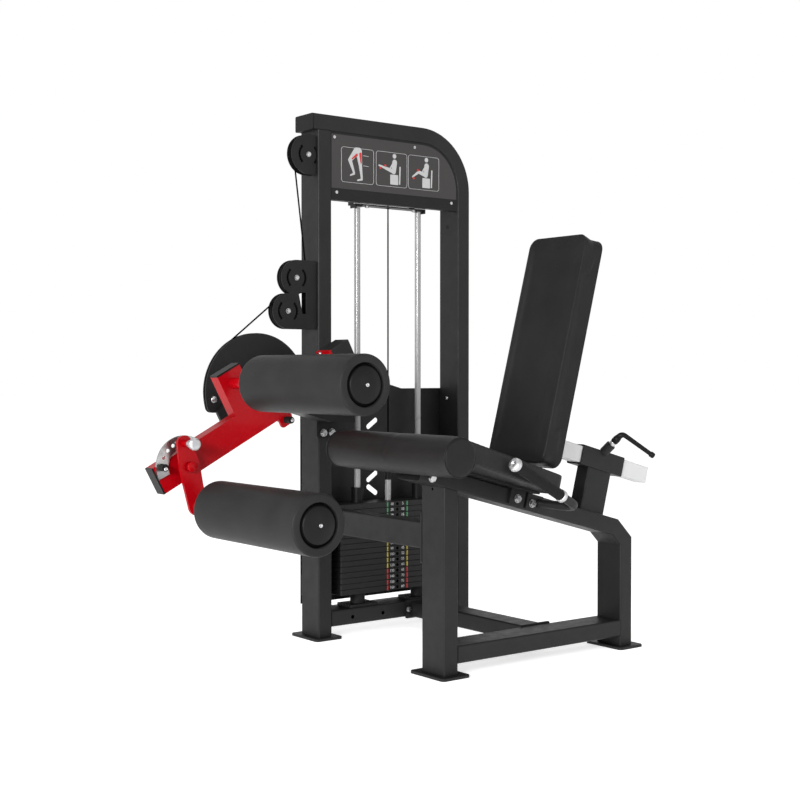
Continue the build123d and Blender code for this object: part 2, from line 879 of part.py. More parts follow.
def pulley(name, plane_at):
    """Grooved pulley on its axle, turned about the plane's own axis."""
    half = pulley_thick / 2
    floor_r = pulley_cable_r - cable_r - 0.1
    with BuildPart() as wheel:
        with BuildSketch(plane_at(half)):
            Circle(pulley_r)
            Circle(axle_r + 0.05, mode=Mode.SUBTRACT)
        extrude(amount=-pulley_thick)
        with BuildSketch(plane_at(3.2)):
            Circle(pulley_r + 1)
            Circle(floor_r, mode=Mode.SUBTRACT)
        extrude(amount=-6.4, mode=Mode.SUBTRACT)
        for face in (plane_at(half), plane_at(4.0 - half)):
            with BuildSketch(face):
                Circle(36)
                Circle(15, mode=Mode.SUBTRACT)
            extrude(amount=-4.0, mode=Mode.SUBTRACT)
    finish(name, wheel)


def wheel_plane(centre):
    """Maker of planes through a pulley in the cable's plane, offset towards -Y."""

    def at(offset):
        origin = (centre[0] + shift_x, cable_y - offset + shift_y, centre[1])
        return Plane(origin=origin, x_dir=(1, 0, 0), z_dir=(0, -1, 0))

    return at


# ---------------------------------------------------------------- cam and lever


def cam():
    """Grooved half-round cam with a hub, and a tapered stop arm beside it."""
    centre = (pivot_x, pivot_z)
    near_y = 672.0
    far_y = 689.0
    hub_near_y = 660.0
    hub_r = 72.0
    groove_half = 3.2
    flat_below = 61.0
    stop_reach = 157.0
    stop_half = 17.0
    with BuildPart() as wheel:
        with BuildSketch(side_plane(near_y)):
            with Locations(centre):
                Circle(cam_r)
            with Locations((pivot_x, pivot_z - flat_below - cam_r)):
                Rectangle(3 * cam_r, 2 * cam_r, mode=Mode.SUBTRACT)
            with Locations(centre):
                Circle(hub_r)
        extrude(amount=near_y - far_y)
        fillet(wheel.edges().filter_by(Axis.Y).group_by(Axis.X)[0], 18)
        with BuildSketch(side_plane(cable_y - groove_half)):
            with Locations(centre):
                Circle(cam_r + 5)
                Circle(cam_cable_r - cable_r - 0.1, mode=Mode.SUBTRACT)
        extrude(amount=-2 * groove_half, mode=Mode.SUBTRACT)
        with BuildSketch(lever_plane(hub_near_y)):
            with BuildLine():
                Polyline(
                    (-stop_reach, stop_half),
                    (0, 0.8 * hub_r),
                    (0, -0.8 * hub_r),
                    (-stop_reach, -stop_half),
                    close=True,
                )
            make_face()
            Circle(hub_r)
        extrude(amount=hub_near_y - near_y)
        with BuildSketch(side_plane(hub_near_y - 1)):
            with Locations(centre):
                Circle(pivot_shaft_r)
        extrude(amount=hub_near_y - far_y - 2, mode=Mode.SUBTRACT)
    finish("cam", wheel)


def pivot_shaft():
    """Shaft that joins the cam to the index plate and carries the lever's hub."""
    centre = (pivot_x, pivot_z)
    with BuildPart() as shaft:
        add(rod(side_plane, centre, pivot_shaft_r, 446.0, 700.0))
        add(rod(side_plane, centre, 27.0, 438.0, 446.0))
        chamfer(shaft.faces().sort_by(Axis.Y)[0].edges(), 2.0)
    finish("pivot_shaft", shaft)


def index_plate():
    """Start-position plate on the shaft behind the arm, with a row of holes for the pull pin."""
    plate_r = 92.0
    hub_r = 46.0
    hole_start = 180.0
    hole_step = 15.0
    open_side = (252.0, 300.0, 0.0, 60.0, 120.0, 168.0)
    with BuildPart() as plate:
        with BuildSketch(lever_plane(498.0)):
            Circle(plate_r)
            with BuildLine():
                Polyline((0, 0), *[polar((0, 0), 2 * plate_r, a) for a in open_side], close=True)
            make_face(mode=Mode.SUBTRACT)
            Circle(hub_r)
            Circle(pivot_shaft_r, mode=Mode.SUBTRACT)
            for step in range(5):
                with Locations(polar((0, 0), start_circle, hole_start + step * hole_step)):
                    Circle(5.5, mode=Mode.SUBTRACT)
        extrude(amount=-8.0)
    finish("index_plate", plate)


def lever_arm():
    """Red arm: square tube with a hub, a short roller tube on top, a stop tab and an end plate."""
    half = arm_height / 2
    inner = half - wall
    with BuildPart() as arm:
        with BuildSketch(lever_plane(arm_near_y)):
            with Locations(((arm_start + arm_end) / 2, 0)):
                Rectangle(arm_end - arm_start, arm_height)
            with Locations((thigh_u, (half + 162.0) / 2)):
                Rectangle(arm_height, 162.0 - half)
        extrude(amount=arm_near_y - arm_far_y)
        with BuildSketch(lever_plane(arm_near_y + wall)):
            with Locations(((arm_start + arm_end) / 2, 0)):
                Rectangle(arm_end - arm_start, 2 * inner)
            with Locations((thigh_u, half + 61.5)):
                Rectangle(2 * inner, 123)
        extrude(amount=arm_near_y - arm_far_y + 2 * wall, mode=Mode.SUBTRACT)
        with BuildSketch(lever_plane(arm_near_y - 7.0)):
            Circle(29.0)
        extrude(amount=-49.0)
        with BuildSketch(lever_plane(arm_near_y - 8.0)):
            Circle(pivot_shaft_r + 0.05)
        extrude(amount=-60.0, mode=Mode.SUBTRACT)
        with BuildSketch(lever_plane(arm_near_y)):
            with Locations((thigh_u, thigh_n)):
                Circle(roller_shaft_r + 4)
        extrude(amount=arm_near_y - arm_far_y)
        with BuildSketch(lever_plane(roller_near_y + 17.0)):
            with Locations((thigh_u, thigh_n)):
                Circle(roller_shaft_r)
        extrude(amount=roller_near_y + 17.0 - arm_near_y - 10.0)
        with BuildSketch(lever_plane(arm_near_y)):
            with Locations((-68.5, -half - 12.0)):
                RectangleRounded(44, 34, 8)
        extrude(amount=-8.0)
        with BuildSketch(lever_plane(442.0)):
            with Locations((arm_end + 5.0, -1.0)):
                Rectangle(10, 118)
        extrude(amount=-66.0)
        with BuildSketch(lever_plane(arm_near_y - 2)):
            with Locations((-start_circle, 0)):
                Circle(5.5)
        extrude(amount=-60.0, mode=Mode.SUBTRACT)
    finish("lever_arm", arm)


def arm_end_caps():
    """Plastic plugs over the arm's front end and the roller tube's top."""
    half = arm_height / 2
    cap = 5.0
    with BuildPart() as caps:
        with BuildSketch(lever_plane(arm_near_y)):
            with Locations((arm_start - cap / 2, 0)):
                Rectangle(cap, 2 * half)
            with Locations((thigh_u, 162.0 + cap / 2)):
                Rectangle(2 * half, cap)
        extrude(amount=arm_near_y - arm_far_y)
    finish("arm_end_caps", caps)


def counterweight():
    """Cast block bolted behind the end plate."""
    with BuildPart() as block:
        with BuildSketch(lever_plane(442.0)):
            with Locations(((arm_end + 10 + 228) / 2, -1.0)):
                RectangleRounded(228 - arm_end - 10, 118, 3)
        extrude(amount=-66.0)
        chamfer(block.edges().filter_by(GeomType.LINE), 1.5)
    finish("counterweight", block)


def ankle_centre():
    """X and Z of the ankle arm's pivot on the lever."""
    return lever_point(ankle_u, 0)


def arm_bumpers():
    """Rubber stops and steel bolts on the lever's near face."""
    pivot = ankle_centre()
    stop = polar(pivot, 68.0, 181)
    tab = lever_point(-68.5, -52.0)
    with BuildPart() as bumpers:
        add(disc(side_plane, stop, 10.0, 427.0, arc_plate_y))
        add(disc(side_plane, tab, 10.0, 427.0, arm_near_y))
        for centre in (stop, tab):
            add(hex_bolt(side_plane, centre, 427.0, across=12.0, head=4.0))
    finish("arm_bumpers", bumpers)


def ankle_index_plate():
    """Arc plate on the arm with six holes for the ankle pin, and the ankle arm's pivot bolt."""
    pivot = ankle_centre()
    hole_angles = (158.5, 138.7, 120.8, 102.0, 83.5, 65.0)
    right_end = 56.0
    with BuildPart() as plate:
        with BuildSketch(side_plane(arc_plate_y)):
            with Locations(pivot):
                Circle(84)
                Circle(48, mode=Mode.SUBTRACT)
            with Locations(polar(pivot, 100, -65)):
                Rectangle(300, 200, rotation=25, mode=Mode.SUBTRACT)
            with BuildLine():
                Polyline(pivot, polar(pivot, 140, 10), polar(pivot, 140, right_end), close=True)
            make_face(mode=Mode.SUBTRACT)
            for angle in hole_angles:
                with Locations(polar(pivot, pin_circle, angle)):
                    Circle(5.5, mode=Mode.SUBTRACT)
        extrude(amount=arc_plate_y - arm_near_y)
        add(rod(side_plane, pivot, 8.0, 408.0, arm_near_y))
        add(hex_bolt(side_plane, pivot, 408.0, across=20.0, head=6.0))
    finish("ankle_index_plate", plate)


def start_pin():
    """Silver pull pin that locks the lever to the index plate."""
    centre = lever_point(-start_circle, 0)
    with BuildPart() as pin:
        add(rod(side_plane, centre, 5.0, 440.0, 497.7))
        add(rod(side_plane, centre, 9.0, 430.0, 454.7))
        add(rod(side_plane, centre, 17.0, 412.0, 430.0))
        chamfer(pin.faces().sort_by(Axis.Y)[0].edges(), 4.0)
    finish("start_pin", pin)


def ankle_arm():
    """Plate on the ankle pivot with the pin barrel on top and the roller's shaft below."""
    pivot = ankle_centre()
    roller = (ankle_roller_x, ankle_roller_z)
    pin = polar(pivot, pin_circle, 104)
    near_y = 416.0
    far_y = 425.0
    with BuildPart() as arm:
        with BuildSketch(side_plane(near_y)):
            with Locations(pin):
                Circle(22)
            with Locations(pivot):
                Circle(31)
            with Locations(roller):
                Circle(27)
            make_hull()
            with Locations(pivot):
                Circle(8.05, mode=Mode.SUBTRACT)
            with Locations(pin):
                Circle(5.05, mode=Mode.SUBTRACT)
        extrude(amount=near_y - far_y)
        add(disc(side_plane, pivot, 15.0, far_y, arm_near_y - hair, bore=8.05))
        add(disc(side_plane, pin, 10.0, 392.0, near_y, bore=5.05))
        add(rod(side_plane, roller, roller_shaft_r, roller_near_y + 17.0, near_y))
    finish("ankle_arm", arm)


def ankle_pin():
    """Silver pull knob and its pin, which stops at the arc plate's face."""
    centre = polar(ankle_centre(), pin_circle, 104)
    with BuildPart() as pin:
        add(rod(side_plane, centre, 5.0, 380.0, arc_plate_y - hair))
        add(rod(side_plane, centre, 9.0, 366.0, 391.7))
        add(rod(side_plane, centre, 16.5, 353.0, 366.0))
        chamfer(pin.faces().sort_by(Axis.Y)[0].edges(), 4.0)
    finish("ankle_pin", pin)


def roller(name, centre):
    """Foam roller with a recess at each end, and the two caps that close it."""
    recess = 15.0
    near_cap = (roller_near_y + 5.0, roller_near_y + recess)
    far_cap = (roller_far_y - recess, roller_far_y - 5.0)
    with BuildPart() as foam:
        with BuildSketch(side_plane(roller_near_y)):
            with Locations(centre):
                Circle(roller_r)
        extrude(amount=roller_near_y - roller_far_y)
        ends = foam.edges().filter_by(GeomType.CIRCLE)
        fillet(ends, 12)
        with BuildSketch(side_plane(roller_near_y - 1)):
            with Locations(centre):
                Circle(roller_cap_r)
        extrude(amount=-recess - 1, mode=Mode.SUBTRACT)
        with BuildSketch(side_plane(far_cap[0])):
            with Locations(centre):
                Circle(roller_cap_r)
        extrude(amount=-recess - 1, mode=Mode.SUBTRACT)
        with BuildSketch(side_plane(roller_near_y)):
            with Locations(centre):
                Circle(roller_shaft_r + 0.05)
        extrude(amount=roller_near_y - roller_far_y, mode=Mode.SUBTRACT)
    finish(name, foam)
    with BuildPart() as caps:
        add(disc(side_plane, centre, roller_cap_r, *near_cap))
        chamfer(caps.faces().sort_by(Axis.Y)[0].edges(), 2.5)
        add(disc(side_plane, centre, roller_cap_r, *far_cap, bore=roller_shaft_r + 0.05))
        add(hex_bolt(side_plane, centre, near_cap[0], across=10.0, head=3.0))
    finish(f"{name}_caps", caps)


# ---------------------------------------------------------------- seat and backrest


def seat_pad():
    """Tapered seat cushion with a thick roll across its front edge."""
    with BuildPart() as pad:
        with BuildSketch(slope_level(pad_low)):
            with BuildLine():
                Polyline(
                    (seat_front_s, seat_mid_y - seat_front_half),
                    (seat_rear_s, seat_mid_y - seat_rear_half),
                    (seat_rear_s, seat_mid_y + seat_rear_half),
                    (seat_front_s, seat_mid_y + seat_front_half),
                    close=True,
                )
            face = make_face()
            fillet(face.vertices().group_by(Axis.X)[-1], 30)
        extrude(amount=pad_top - pad_low)
        with BuildSketch(slope_plane(seat_mid_y - seat_front_half)):
            with Locations((seat_front_s, seat_roll_n)):
                Circle(seat_roll_r)
        extrude(amount=-2 * seat_front_half)
    finish("seat_pad", pad)


def seat_mount():
    """Plate between the beam and the cushion with a bracket down each side of the beam."""
    bracket_spans = ((249.0, 305.0), (315.0, 375.0))
    with BuildPart() as mount:
        with BuildSketch(slope_level(0)):
            with Locations((130.0, seat_mid_y)):
                RectangleRounded(396, 190, 8)
        extrude(amount=pad_low)
        for y in (-seat_bracket, tube_deep):
            with BuildSketch(slope_plane(y)):
                for start, end in bracket_spans:
                    with Locations(((start + end) / 2, -22.0)):
                        Rectangle(end - start, 44)
            extrude(amount=-seat_bracket)
    finish("seat_mount", mount)


def handle_route(side):
    """Corner points of one handle; side is -1 towards the user's right and 1 towards the tower."""
    half = tube_deep / 2
    points = ((342.3, half + 2.0, 463.3), (380.0, 184.0, 457.5), (90.0, 242.0, 592.0))
    return [Vector(x + shift_x, seat_mid_y + side * y + shift_y, z) for x, y, z in points]


def handle_tube(side, radius):
    """Round bar bent along one handle, cut flush with the bracket that it is welded to."""
    with BuildPart() as tube:
        with BuildLine():
            line = FilletPolyline(*handle_route(side), radius=38)
        with BuildSketch(Plane(origin=line @ 0, z_dir=line % 0)):
            Circle(radius)
        sweep(path=line)
        beside = side_plane(seat_mid_y + side * (tube_deep / 2 + seat_bracket))
        split(bisect_by=beside, keep=Keep.TOP if side < 0 else Keep.BOTTOM)
    return tube.part


def grip_piece(side, radius, inner, back, front):
    """Straight sleeve on a handle between two distances from its free end."""
    _, corner, tip = handle_route(side)
    along = (tip - corner).normalized()
    with BuildPart() as sleeve:
        with BuildSketch(Plane(origin=tip - along * back, z_dir=along)):
            Circle(radius)
            if inner:
                Circle(inner, mode=Mode.SUBTRACT)
        extrude(amount=back - front)
    return sleeve.part


def seat_handles():
    """Bent grab handle on each side of the seat, its rubber grips and its metal ends."""
    bar = 12.5
    ring_back = 236.0
    ring_front = 222.0
    cap_long = 14.0
    with BuildPart() as handles:
        for side in (-1, 1):
            add(handle_tube(side, bar))
    finish("seat_handles", handles)
    with BuildPart() as grips:
        for side in (-1, 1):
            add(grip_piece(side, 16.0, bar, ring_front, 0.0))
    finish("handle_grips", grips)
    with BuildPart() as ends:
        for side in (-1, 1):
            add(grip_piece(side, 18.0, bar, ring_back, ring_front))
            add(grip_piece(side, 18.0, 0, 0.0, -cap_long))
        chamfer(ends.edges().filter_by(GeomType.CIRCLE).sort_by(Axis.X)[0], 4.0)
    finish("handle_ends", ends)


def back_pad():
    """Backrest cushion, square to the seat beam's slope."""
    with BuildPart() as pad:
        with BuildSketch(slope_section(back_s, (back_low + back_top) / 2)):
            RectangleRounded(2 * back_half, back_top - back_low, back_corner)
        extrude(amount=back_thick)
        fillet(pad.faces().filter_by(GeomType.PLANE).sort_by(Axis.X)[0].edges(), 8)
    finish("back_pad", pad)


def slide_tube():
    """Square tube that sets how deep the seat is, welded to the plate on the cushion's back."""
    front = back_s + back_thick
    tube_front = front + flange
    tube_back = 816.0
    with BuildPart() as slide:
        with BuildSketch(slope_section(front, 340.0)):
            RectangleRounded(150, 480, 10)
        extrude(amount=flange)
        with BuildSketch(slope_section(tube_front, 160.0)):
            RectangleRounded(50, 50, 3)
            RectangleRounded(44, 44, 1.5, mode=Mode.SUBTRACT)
        extrude(amount=tube_back - tube_front)
        with BuildSketch(slope_section(tube_back, 160.0)):
            RectangleRounded(50, 50, 3)
        extrude(amount=5.0)
    finish("slide_tube", slide)


def clamp_lever():
    """Clamping handle: threaded stud, hub and a cranked arm with a block at its end."""
    reach = 118.0
    swing = 30.0
    base = clamp_axis_plane(62.0)
    angle = -swing
    along = base.x_dir.rotate(Axis((0, 0, 0), base.z_dir), angle)
    with BuildPart() as clamp:
        with BuildSketch(clamp_axis_plane(6.0)):
            Circle(6.0)
        extrude(amount=40.0)
        with BuildSketch(clamp_axis_plane(28.0 + hair)):
            Circle(12.0)
        extrude(amount=44.0, taper=4)
        with BuildSketch(Plane(origin=base.origin, x_dir=base.z_dir, z_dir=along)):
            RectangleRounded(15, 12, 4)
        extrude(amount=reach)
        tip = base.origin + along * reach
        with BuildSketch(Plane(origin=tip, x_dir=base.z_dir, z_dir=along)):
            RectangleRounded(24, 18, 5)
        extrude(amount=12.0)
    finish("clamp_lever", clamp)


foot_plates()
tower_upright()
tower_bent_tube()
tower_base_beam()
front_post()
seat_beam()
rear_post()
lower_beam()
cross_beam("upper_cross_beam", (15, 65), (345, 420), (0, 65, 308, 453), (15, 82, 308, 453))
cross_beam("lower_cross_beam", (392, 472), (36, 86), (373, 491, 31, 91), (373, 491, 31, 91))
back_support_post()
slide_sleeve()
tube_end_caps()
sign_panel()
rear_shroud()
guide_rods()
rod_top_channel()
stack_bumpers()
pulley_bracket("top_pulley_bracket", (top_pulley,), 62.0)
pulley_bracket(
    "idler_bracket",
    (lower_idler, upper_idler),
    55.0,
    window=((-36.0, 1086.0), (-8.0, 1086.0), (-8.0, 1020.0), (-22.0, 1020.0)),
)
stack_pulley_bracket()
pivot_bracket()
pivot_bearings()
frame_bolts()
guide_cable()
cam_cable()
stack_plates()
selector_stem()
stack_fittings()
stack_cable()
selector_pin()
pulley("lower_idler_pulley", wheel_plane(lower_idler))
pulley("upper_idler_pulley", wheel_plane(upper_idler))
pulley("top_pulley", wheel_plane(top_pulley))
pulley("stack_pulley", inner_pulley_plane)
cam()
pivot_shaft()
index_plate()
lever_arm()
arm_end_caps()
counterweight()
arm_bumpers()
ankle_index_plate()
start_pin()
ankle_arm()
ankle_pin()
roller("thigh_roller", lever_point(thigh_u, thigh_n))
roller("ankle_roller", (ankle_roller_x, ankle_roller_z))
seat_pad()
seat_mount()
seat_handles()
back_pad()
slide_tube()
clamp_lever()
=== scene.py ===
import json
import math

import bmesh
import bpy
from mathutils import Matrix, Vector


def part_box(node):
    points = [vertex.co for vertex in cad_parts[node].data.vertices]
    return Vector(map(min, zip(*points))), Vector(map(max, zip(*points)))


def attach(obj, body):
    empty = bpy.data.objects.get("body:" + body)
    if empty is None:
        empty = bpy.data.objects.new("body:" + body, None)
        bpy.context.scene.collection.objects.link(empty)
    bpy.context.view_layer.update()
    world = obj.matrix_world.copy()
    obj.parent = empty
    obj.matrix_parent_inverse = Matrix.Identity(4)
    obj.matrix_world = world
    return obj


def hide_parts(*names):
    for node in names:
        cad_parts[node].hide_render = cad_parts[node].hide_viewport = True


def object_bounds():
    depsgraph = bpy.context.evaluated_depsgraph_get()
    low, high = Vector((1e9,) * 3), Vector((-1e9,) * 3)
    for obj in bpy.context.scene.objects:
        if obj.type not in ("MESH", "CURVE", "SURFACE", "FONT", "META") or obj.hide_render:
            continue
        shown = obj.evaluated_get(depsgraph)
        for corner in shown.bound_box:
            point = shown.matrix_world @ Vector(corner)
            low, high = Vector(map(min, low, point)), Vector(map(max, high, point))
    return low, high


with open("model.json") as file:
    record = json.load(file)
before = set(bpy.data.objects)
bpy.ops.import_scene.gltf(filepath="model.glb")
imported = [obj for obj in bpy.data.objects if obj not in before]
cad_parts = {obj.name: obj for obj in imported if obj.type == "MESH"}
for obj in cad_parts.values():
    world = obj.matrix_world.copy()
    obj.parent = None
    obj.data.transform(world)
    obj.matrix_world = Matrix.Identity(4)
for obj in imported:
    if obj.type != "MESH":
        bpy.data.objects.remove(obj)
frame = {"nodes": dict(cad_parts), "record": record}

MM = 0.001
cad_low, cad_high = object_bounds()
scene = bpy.context.scene
scene.view_settings.view_transform = "Standard"

# The layout is measured, like the CAD, from the front post's outer corner on the floor.
post_low, post_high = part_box("front_post")
CORNER = Vector((post_low.x, post_low.y, 0))
SEAT_SLOPE = math.radians(15)
LEVER_TILT = math.radians(27.96)
BEAM_RISE = 576.7
SEAT_MID_Y = 50.0
PIVOT_X = -182.0
PIVOT_Z = 780.0
ALONG_SEAT = Vector((math.cos(SEAT_SLOPE), 0, -math.sin(SEAT_SLOPE)))
OFF_SEAT = Vector((math.sin(SEAT_SLOPE), 0, math.cos(SEAT_SLOPE)))
ACROSS = Vector((0, 1, 0))


def spot(x, y, z):
    """Point in metres from millimetres laid out from the front post's corner."""
    return CORNER + Vector((x, y, z)) * MM


def on_seat(s, y, n):
    """Point s along the seat beam, at depth y and n above the beam's top."""
    return spot(0, y, BEAM_RISE) + (ALONG_SEAT * s + OFF_SEAT * n) * MM


def seat_axes():
    """Matrix from the seat's own axes (along the beam, across, off the beam) to the scene."""
    turn = Matrix((ALONG_SEAT, ACROSS, OFF_SEAT)).transposed().to_4x4()
    return Matrix.Translation(spot(0, 0, BEAM_RISE)) @ turn


def on_lever(u, y, n):
    """Point u along the red arm from its pivot, at depth y and n above the arm's middle."""
    along = Vector((math.cos(LEVER_TILT), 0, math.sin(LEVER_TILT)))
    off = Vector((-math.sin(LEVER_TILT), 0, math.cos(LEVER_TILT)))
    return spot(PIVOT_X, y, PIVOT_Z) + (along * u + off * n) * MM


# ---------------------------------------------------------------- materials


def new_material(name):
    """Empty node material with its Principled shader and object coordinates."""
    mat = bpy.data.materials.new(name)
    mat.use_nodes = True
    nodes = mat.node_tree.nodes
    shader = nodes["Principled BSDF"]
    coords = nodes.new("ShaderNodeTexCoord")
    return mat, nodes, mat.node_tree.links, shader, coords


def noise(nodes, links, coords, scale, detail=4.0, stretch=None):
    """Noise texture on object coordinates, stretched along an axis if asked."""
    texture = nodes.new("ShaderNodeTexNoise")
    texture.inputs["Scale"].default_value = scale
    texture.inputs["Detail"].default_value = detail
    source = coords.outputs["Object"]
    if stretch:
        mapping = nodes.new("ShaderNodeMapping")
        mapping.inputs["Scale"].default_value = stretch
        links.new(source, mapping.inputs["Vector"])
        source = mapping.outputs["Vector"]
    links.new(source, texture.inputs["Vector"])
    return texture


def spread(nodes, links, value, low, high):
    """Maps a 0 to 1 value to a range."""
    ranger = nodes.new("ShaderNodeMapRange")
    ranger.inputs["From Min"].default_value = 0.3
    ranger.inputs["From Max"].default_value = 0.7
    ranger.inputs["To Min"].default_value = low
    ranger.inputs["To Max"].default_value = high
    links.new(value, ranger.inputs["Value"])
    return ranger.outputs["Result"]


def tint(nodes, links, value, dark, light):
    """Colour that runs from dark to light with a value."""
    ramp = nodes.new("ShaderNodeValToRGB")
    ramp.color_ramp.elements[0].position = 0.3
    ramp.color_ramp.elements[0].color = (*dark, 1)
    ramp.color_ramp.elements[1].position = 0.7
    ramp.color_ramp.elements[1].color = (*light, 1)
    links.new(value, ramp.inputs["Fac"])
    return ramp.outputs["Color"]


def bump(nodes, links, shader, height, strength, distance):
    """Bump from a height value."""
    node = nodes.new("ShaderNodeBump")
    node.inputs["Strength"].default_value = strength
    node.inputs["Distance"].default_value = distance
    links.new(height, node.inputs["Height"])
    links.new(node.outputs["Normal"], shader.inputs["Normal"])


def coated_metal(name, dark, light, rough, grain, strength, specular=0.3, coat=0.0):
    """Painted, powder-coated or plated steel: slow colour drift, fine peel, uneven gloss."""
    mat, nodes, links, shader, coords = new_material(name)
    drift = noise(nodes, links, coords, 6.0, 3.0)
    peel = noise(nodes, links, coords, grain, 2.0)
    patches = noise(nodes, links, coords, 35.0, 5.0)
    links.new(tint(nodes, links, drift.outputs["Fac"], dark, light), shader.inputs["Base Color"])
    uneven = spread(nodes, links, patches.outputs["Fac"], rough - 0.05, rough + 0.06)
    links.new(uneven, shader.inputs["Roughness"])
    bump(nodes, links, shader, peel.outputs["Fac"], strength, 0.0006)
    shader.inputs["Specular IOR Level"].default_value = specular
    shader.inputs["Coat Weight"].default_value = coat
    shader.inputs["Coat Roughness"].default_value = 0.08
    return mat


def bare_metal(name, dark, light, rough, stretch, strength, fineness=260.0):
    """Bare metal with fine machining or drawing marks along one axis."""
    mat, nodes, links, shader, coords = new_material(name)
    marks = noise(nodes, links, coords, fineness, 3.0, stretch)
    smears = noise(nodes, links, coords, 25.0, 4.0)
    links.new(tint(nodes, links, smears.outputs["Fac"], dark, light), shader.inputs["Base Color"])
    uneven = spread(nodes, links, marks.outputs["Fac"], rough * 0.7, rough * 1.4)
    links.new(uneven, shader.inputs["Roughness"])
    bump(nodes, links, shader, marks.outputs["Fac"], strength, 0.0003)
    shader.inputs["Metallic"].default_value = 1.0
    return mat


def grained(name, dark, light, rough, cell, strength, specular=0.25):
    """Vinyl, rubber or skinned foam: small leather-like cells over a slow colour drift."""
    mat, nodes, links, shader, coords = new_material(name)
    drift = noise(nodes, links, coords, 9.0, 4.0)
    cells = nodes.new("ShaderNodeTexVoronoi")
    cells.feature = "DISTANCE_TO_EDGE"
    cells.inputs["Scale"].default_value = cell
    wobble = noise(nodes, links, coords, cell * 0.5, 3.0)
    mixed = nodes.new("ShaderNodeMix")
    mixed.data_type = "VECTOR"
    mixed.inputs["Factor"].default_value = 0.02
    links.new(coords.outputs["Object"], mixed.inputs["A"])
    links.new(wobble.outputs["Color"], mixed.inputs["B"])
    links.new(mixed.outputs["Result"], cells.inputs["Vector"])
    links.new(tint(nodes, links, drift.outputs["Fac"], dark, light), shader.inputs["Base Color"])
    uneven = spread(nodes, links, wobble.outputs["Fac"], rough - 0.05, rough + 0.07)
    links.new(uneven, shader.inputs["Roughness"])
    bump(nodes, links, shader, cells.outputs["Distance"], strength, 0.0005)
    shader.inputs["Specular IOR Level"].default_value = specular
    return mat


def printed(name, colour, rough=0.5):
    """Screen print or sticker ink with a faint mottle."""
    mat, nodes, links, shader, coords = new_material(name)
    mottle = noise(nodes, links, coords, 420.0, 3.0)
    dark = [c * 0.9 for c in colour]
    links.new(tint(nodes, links, mottle.outputs["Fac"], dark, colour), shader.inputs["Base Color"])
    uneven = spread(nodes, links, mottle.outputs["Fac"], rough - 0.05, rough + 0.05)
    links.new(uneven, shader.inputs["Roughness"])
    bump(nodes, links, shader, mottle.outputs["Fac"], 0.05, 0.0002)
    return mat


def cable_material():
    """Nylon-jacketed wire rope: the strands show through the jacket as slanted ridges."""
    mat, nodes, links, shader, coords = new_material("cable_jacket")
    ridges = nodes.new("ShaderNodeTexWave")
    ridges.inputs["Scale"].default_value = 180.0
    ridges.inputs["Distortion"].default_value = 0.5
    links.new(coords.outputs["Object"], ridges.inputs["Vector"])
    dark = (0.002, 0.002, 0.002)
    light = (0.005, 0.005, 0.005)
    links.new(tint(nodes, links, ridges.outputs["Fac"], dark, light), shader.inputs["Base Color"])
    links.new(spread(nodes, links, ridges.outputs["Fac"], 0.4, 0.55), shader.inputs["Roughness"])
    shader.inputs["Specular IOR Level"].default_value = 0.0
    bump(nodes, links, shader, ridges.outputs["Fac"], 0.3, 0.0004)
    return mat


POWDER = coated_metal("black_powder", (0.0065,) * 3, (0.0095,) * 3, 0.48, 1500, 0.28, 0.24)
BRACKET = coated_metal("bracket_black", (0.004, 0.004, 0.004), (0.007, 0.007, 0.007), 0.42, 1300, 0.22, 0.2)
CAM_BLACK = coated_metal("cam_black", (0.005, 0.005, 0.005), (0.008, 0.008, 0.008), 0.5, 1500, 0.2, 0.22)
RED = coated_metal("red_paint", (0.25, 0.0008, 0.003), (0.31, 0.001, 0.004), 0.26, 700, 0.05, 0.09, 0.05)
SILVER = coated_metal("silver_paint", (0.52, 0.52, 0.52), (0.57, 0.57, 0.57), 0.38, 900, 0.1)
SATIN = bare_metal("satin_plate", (0.40,) * 3, (0.46,) * 3, 0.3, (1, 1, 1), 0.004, 30.0)
CAST = coated_metal("plate_black", (0.005, 0.005, 0.005), (0.009, 0.009, 0.009), 0.45, 500, 0.3, 0.25)
SIGN_BASE = coated_metal("sign_sheet", (0.005,) * 3, (0.008,) * 3, 0.5, 1500, 0.2, 0.2)
CHROME = coated_metal("chrome", (0.20,) * 3, (0.25,) * 3, 0.3, 40, 0.002, 0.6, 0.3)
ZINC = bare_metal("zinc", (0.42, 0.42, 0.43), (0.56, 0.56, 0.57), 0.28, (1, 1, 1), 0.04)
MACHINED = bare_metal("machined", (0.32, 0.32, 0.33), (0.44, 0.44, 0.45), 0.34, (1, 0.03, 1), 0.1)
ALUMINIUM = bare_metal("aluminium", (0.52, 0.52, 0.53), (0.58, 0.58, 0.59), 0.5, (0.1, 1, 1), 0.02)
NYLON = grained("pulley_nylon", (0.005, 0.005, 0.005), (0.009, 0.009, 0.009), 0.42, 700, 0.1, 0.2)
PLASTIC = grained("cap_plastic", (0.004,) * 3, (0.006,) * 3, 0.4, 900, 0.12, 0.14)
RUBBER = grained("grip_rubber", (0.005, 0.005, 0.005), (0.008, 0.008, 0.008), 0.6, 800, 0.3, 0.1)
STOP_RUBBER = grained("stop_rubber", (0.006, 0.006, 0.006), (0.010, 0.010, 0.010), 0.6, 600, 0.25, 0.2)
VINYL = grained("black_vinyl", (0.0100, 0.0095, 0.0095), (0.0135, 0.0130, 0.0130), 0.42, 620, 0.32, 0.12)
FOAM = grained("skinned_foam", (0.016,) * 3, (0.021,) * 3, 0.42, 900, 0.25, 0.05)
CABLE = cable_material()
INK_GREY = printed("ink_grey", (0.38, 0.38, 0.38))
INK_RED = printed("ink_red", (0.42, 0.008, 0.008))
INK_WHITE = printed("ink_white", (0.5, 0.5, 0.5))
INK_GREEN = printed("ink_green", (0.03, 0.18, 0.07))
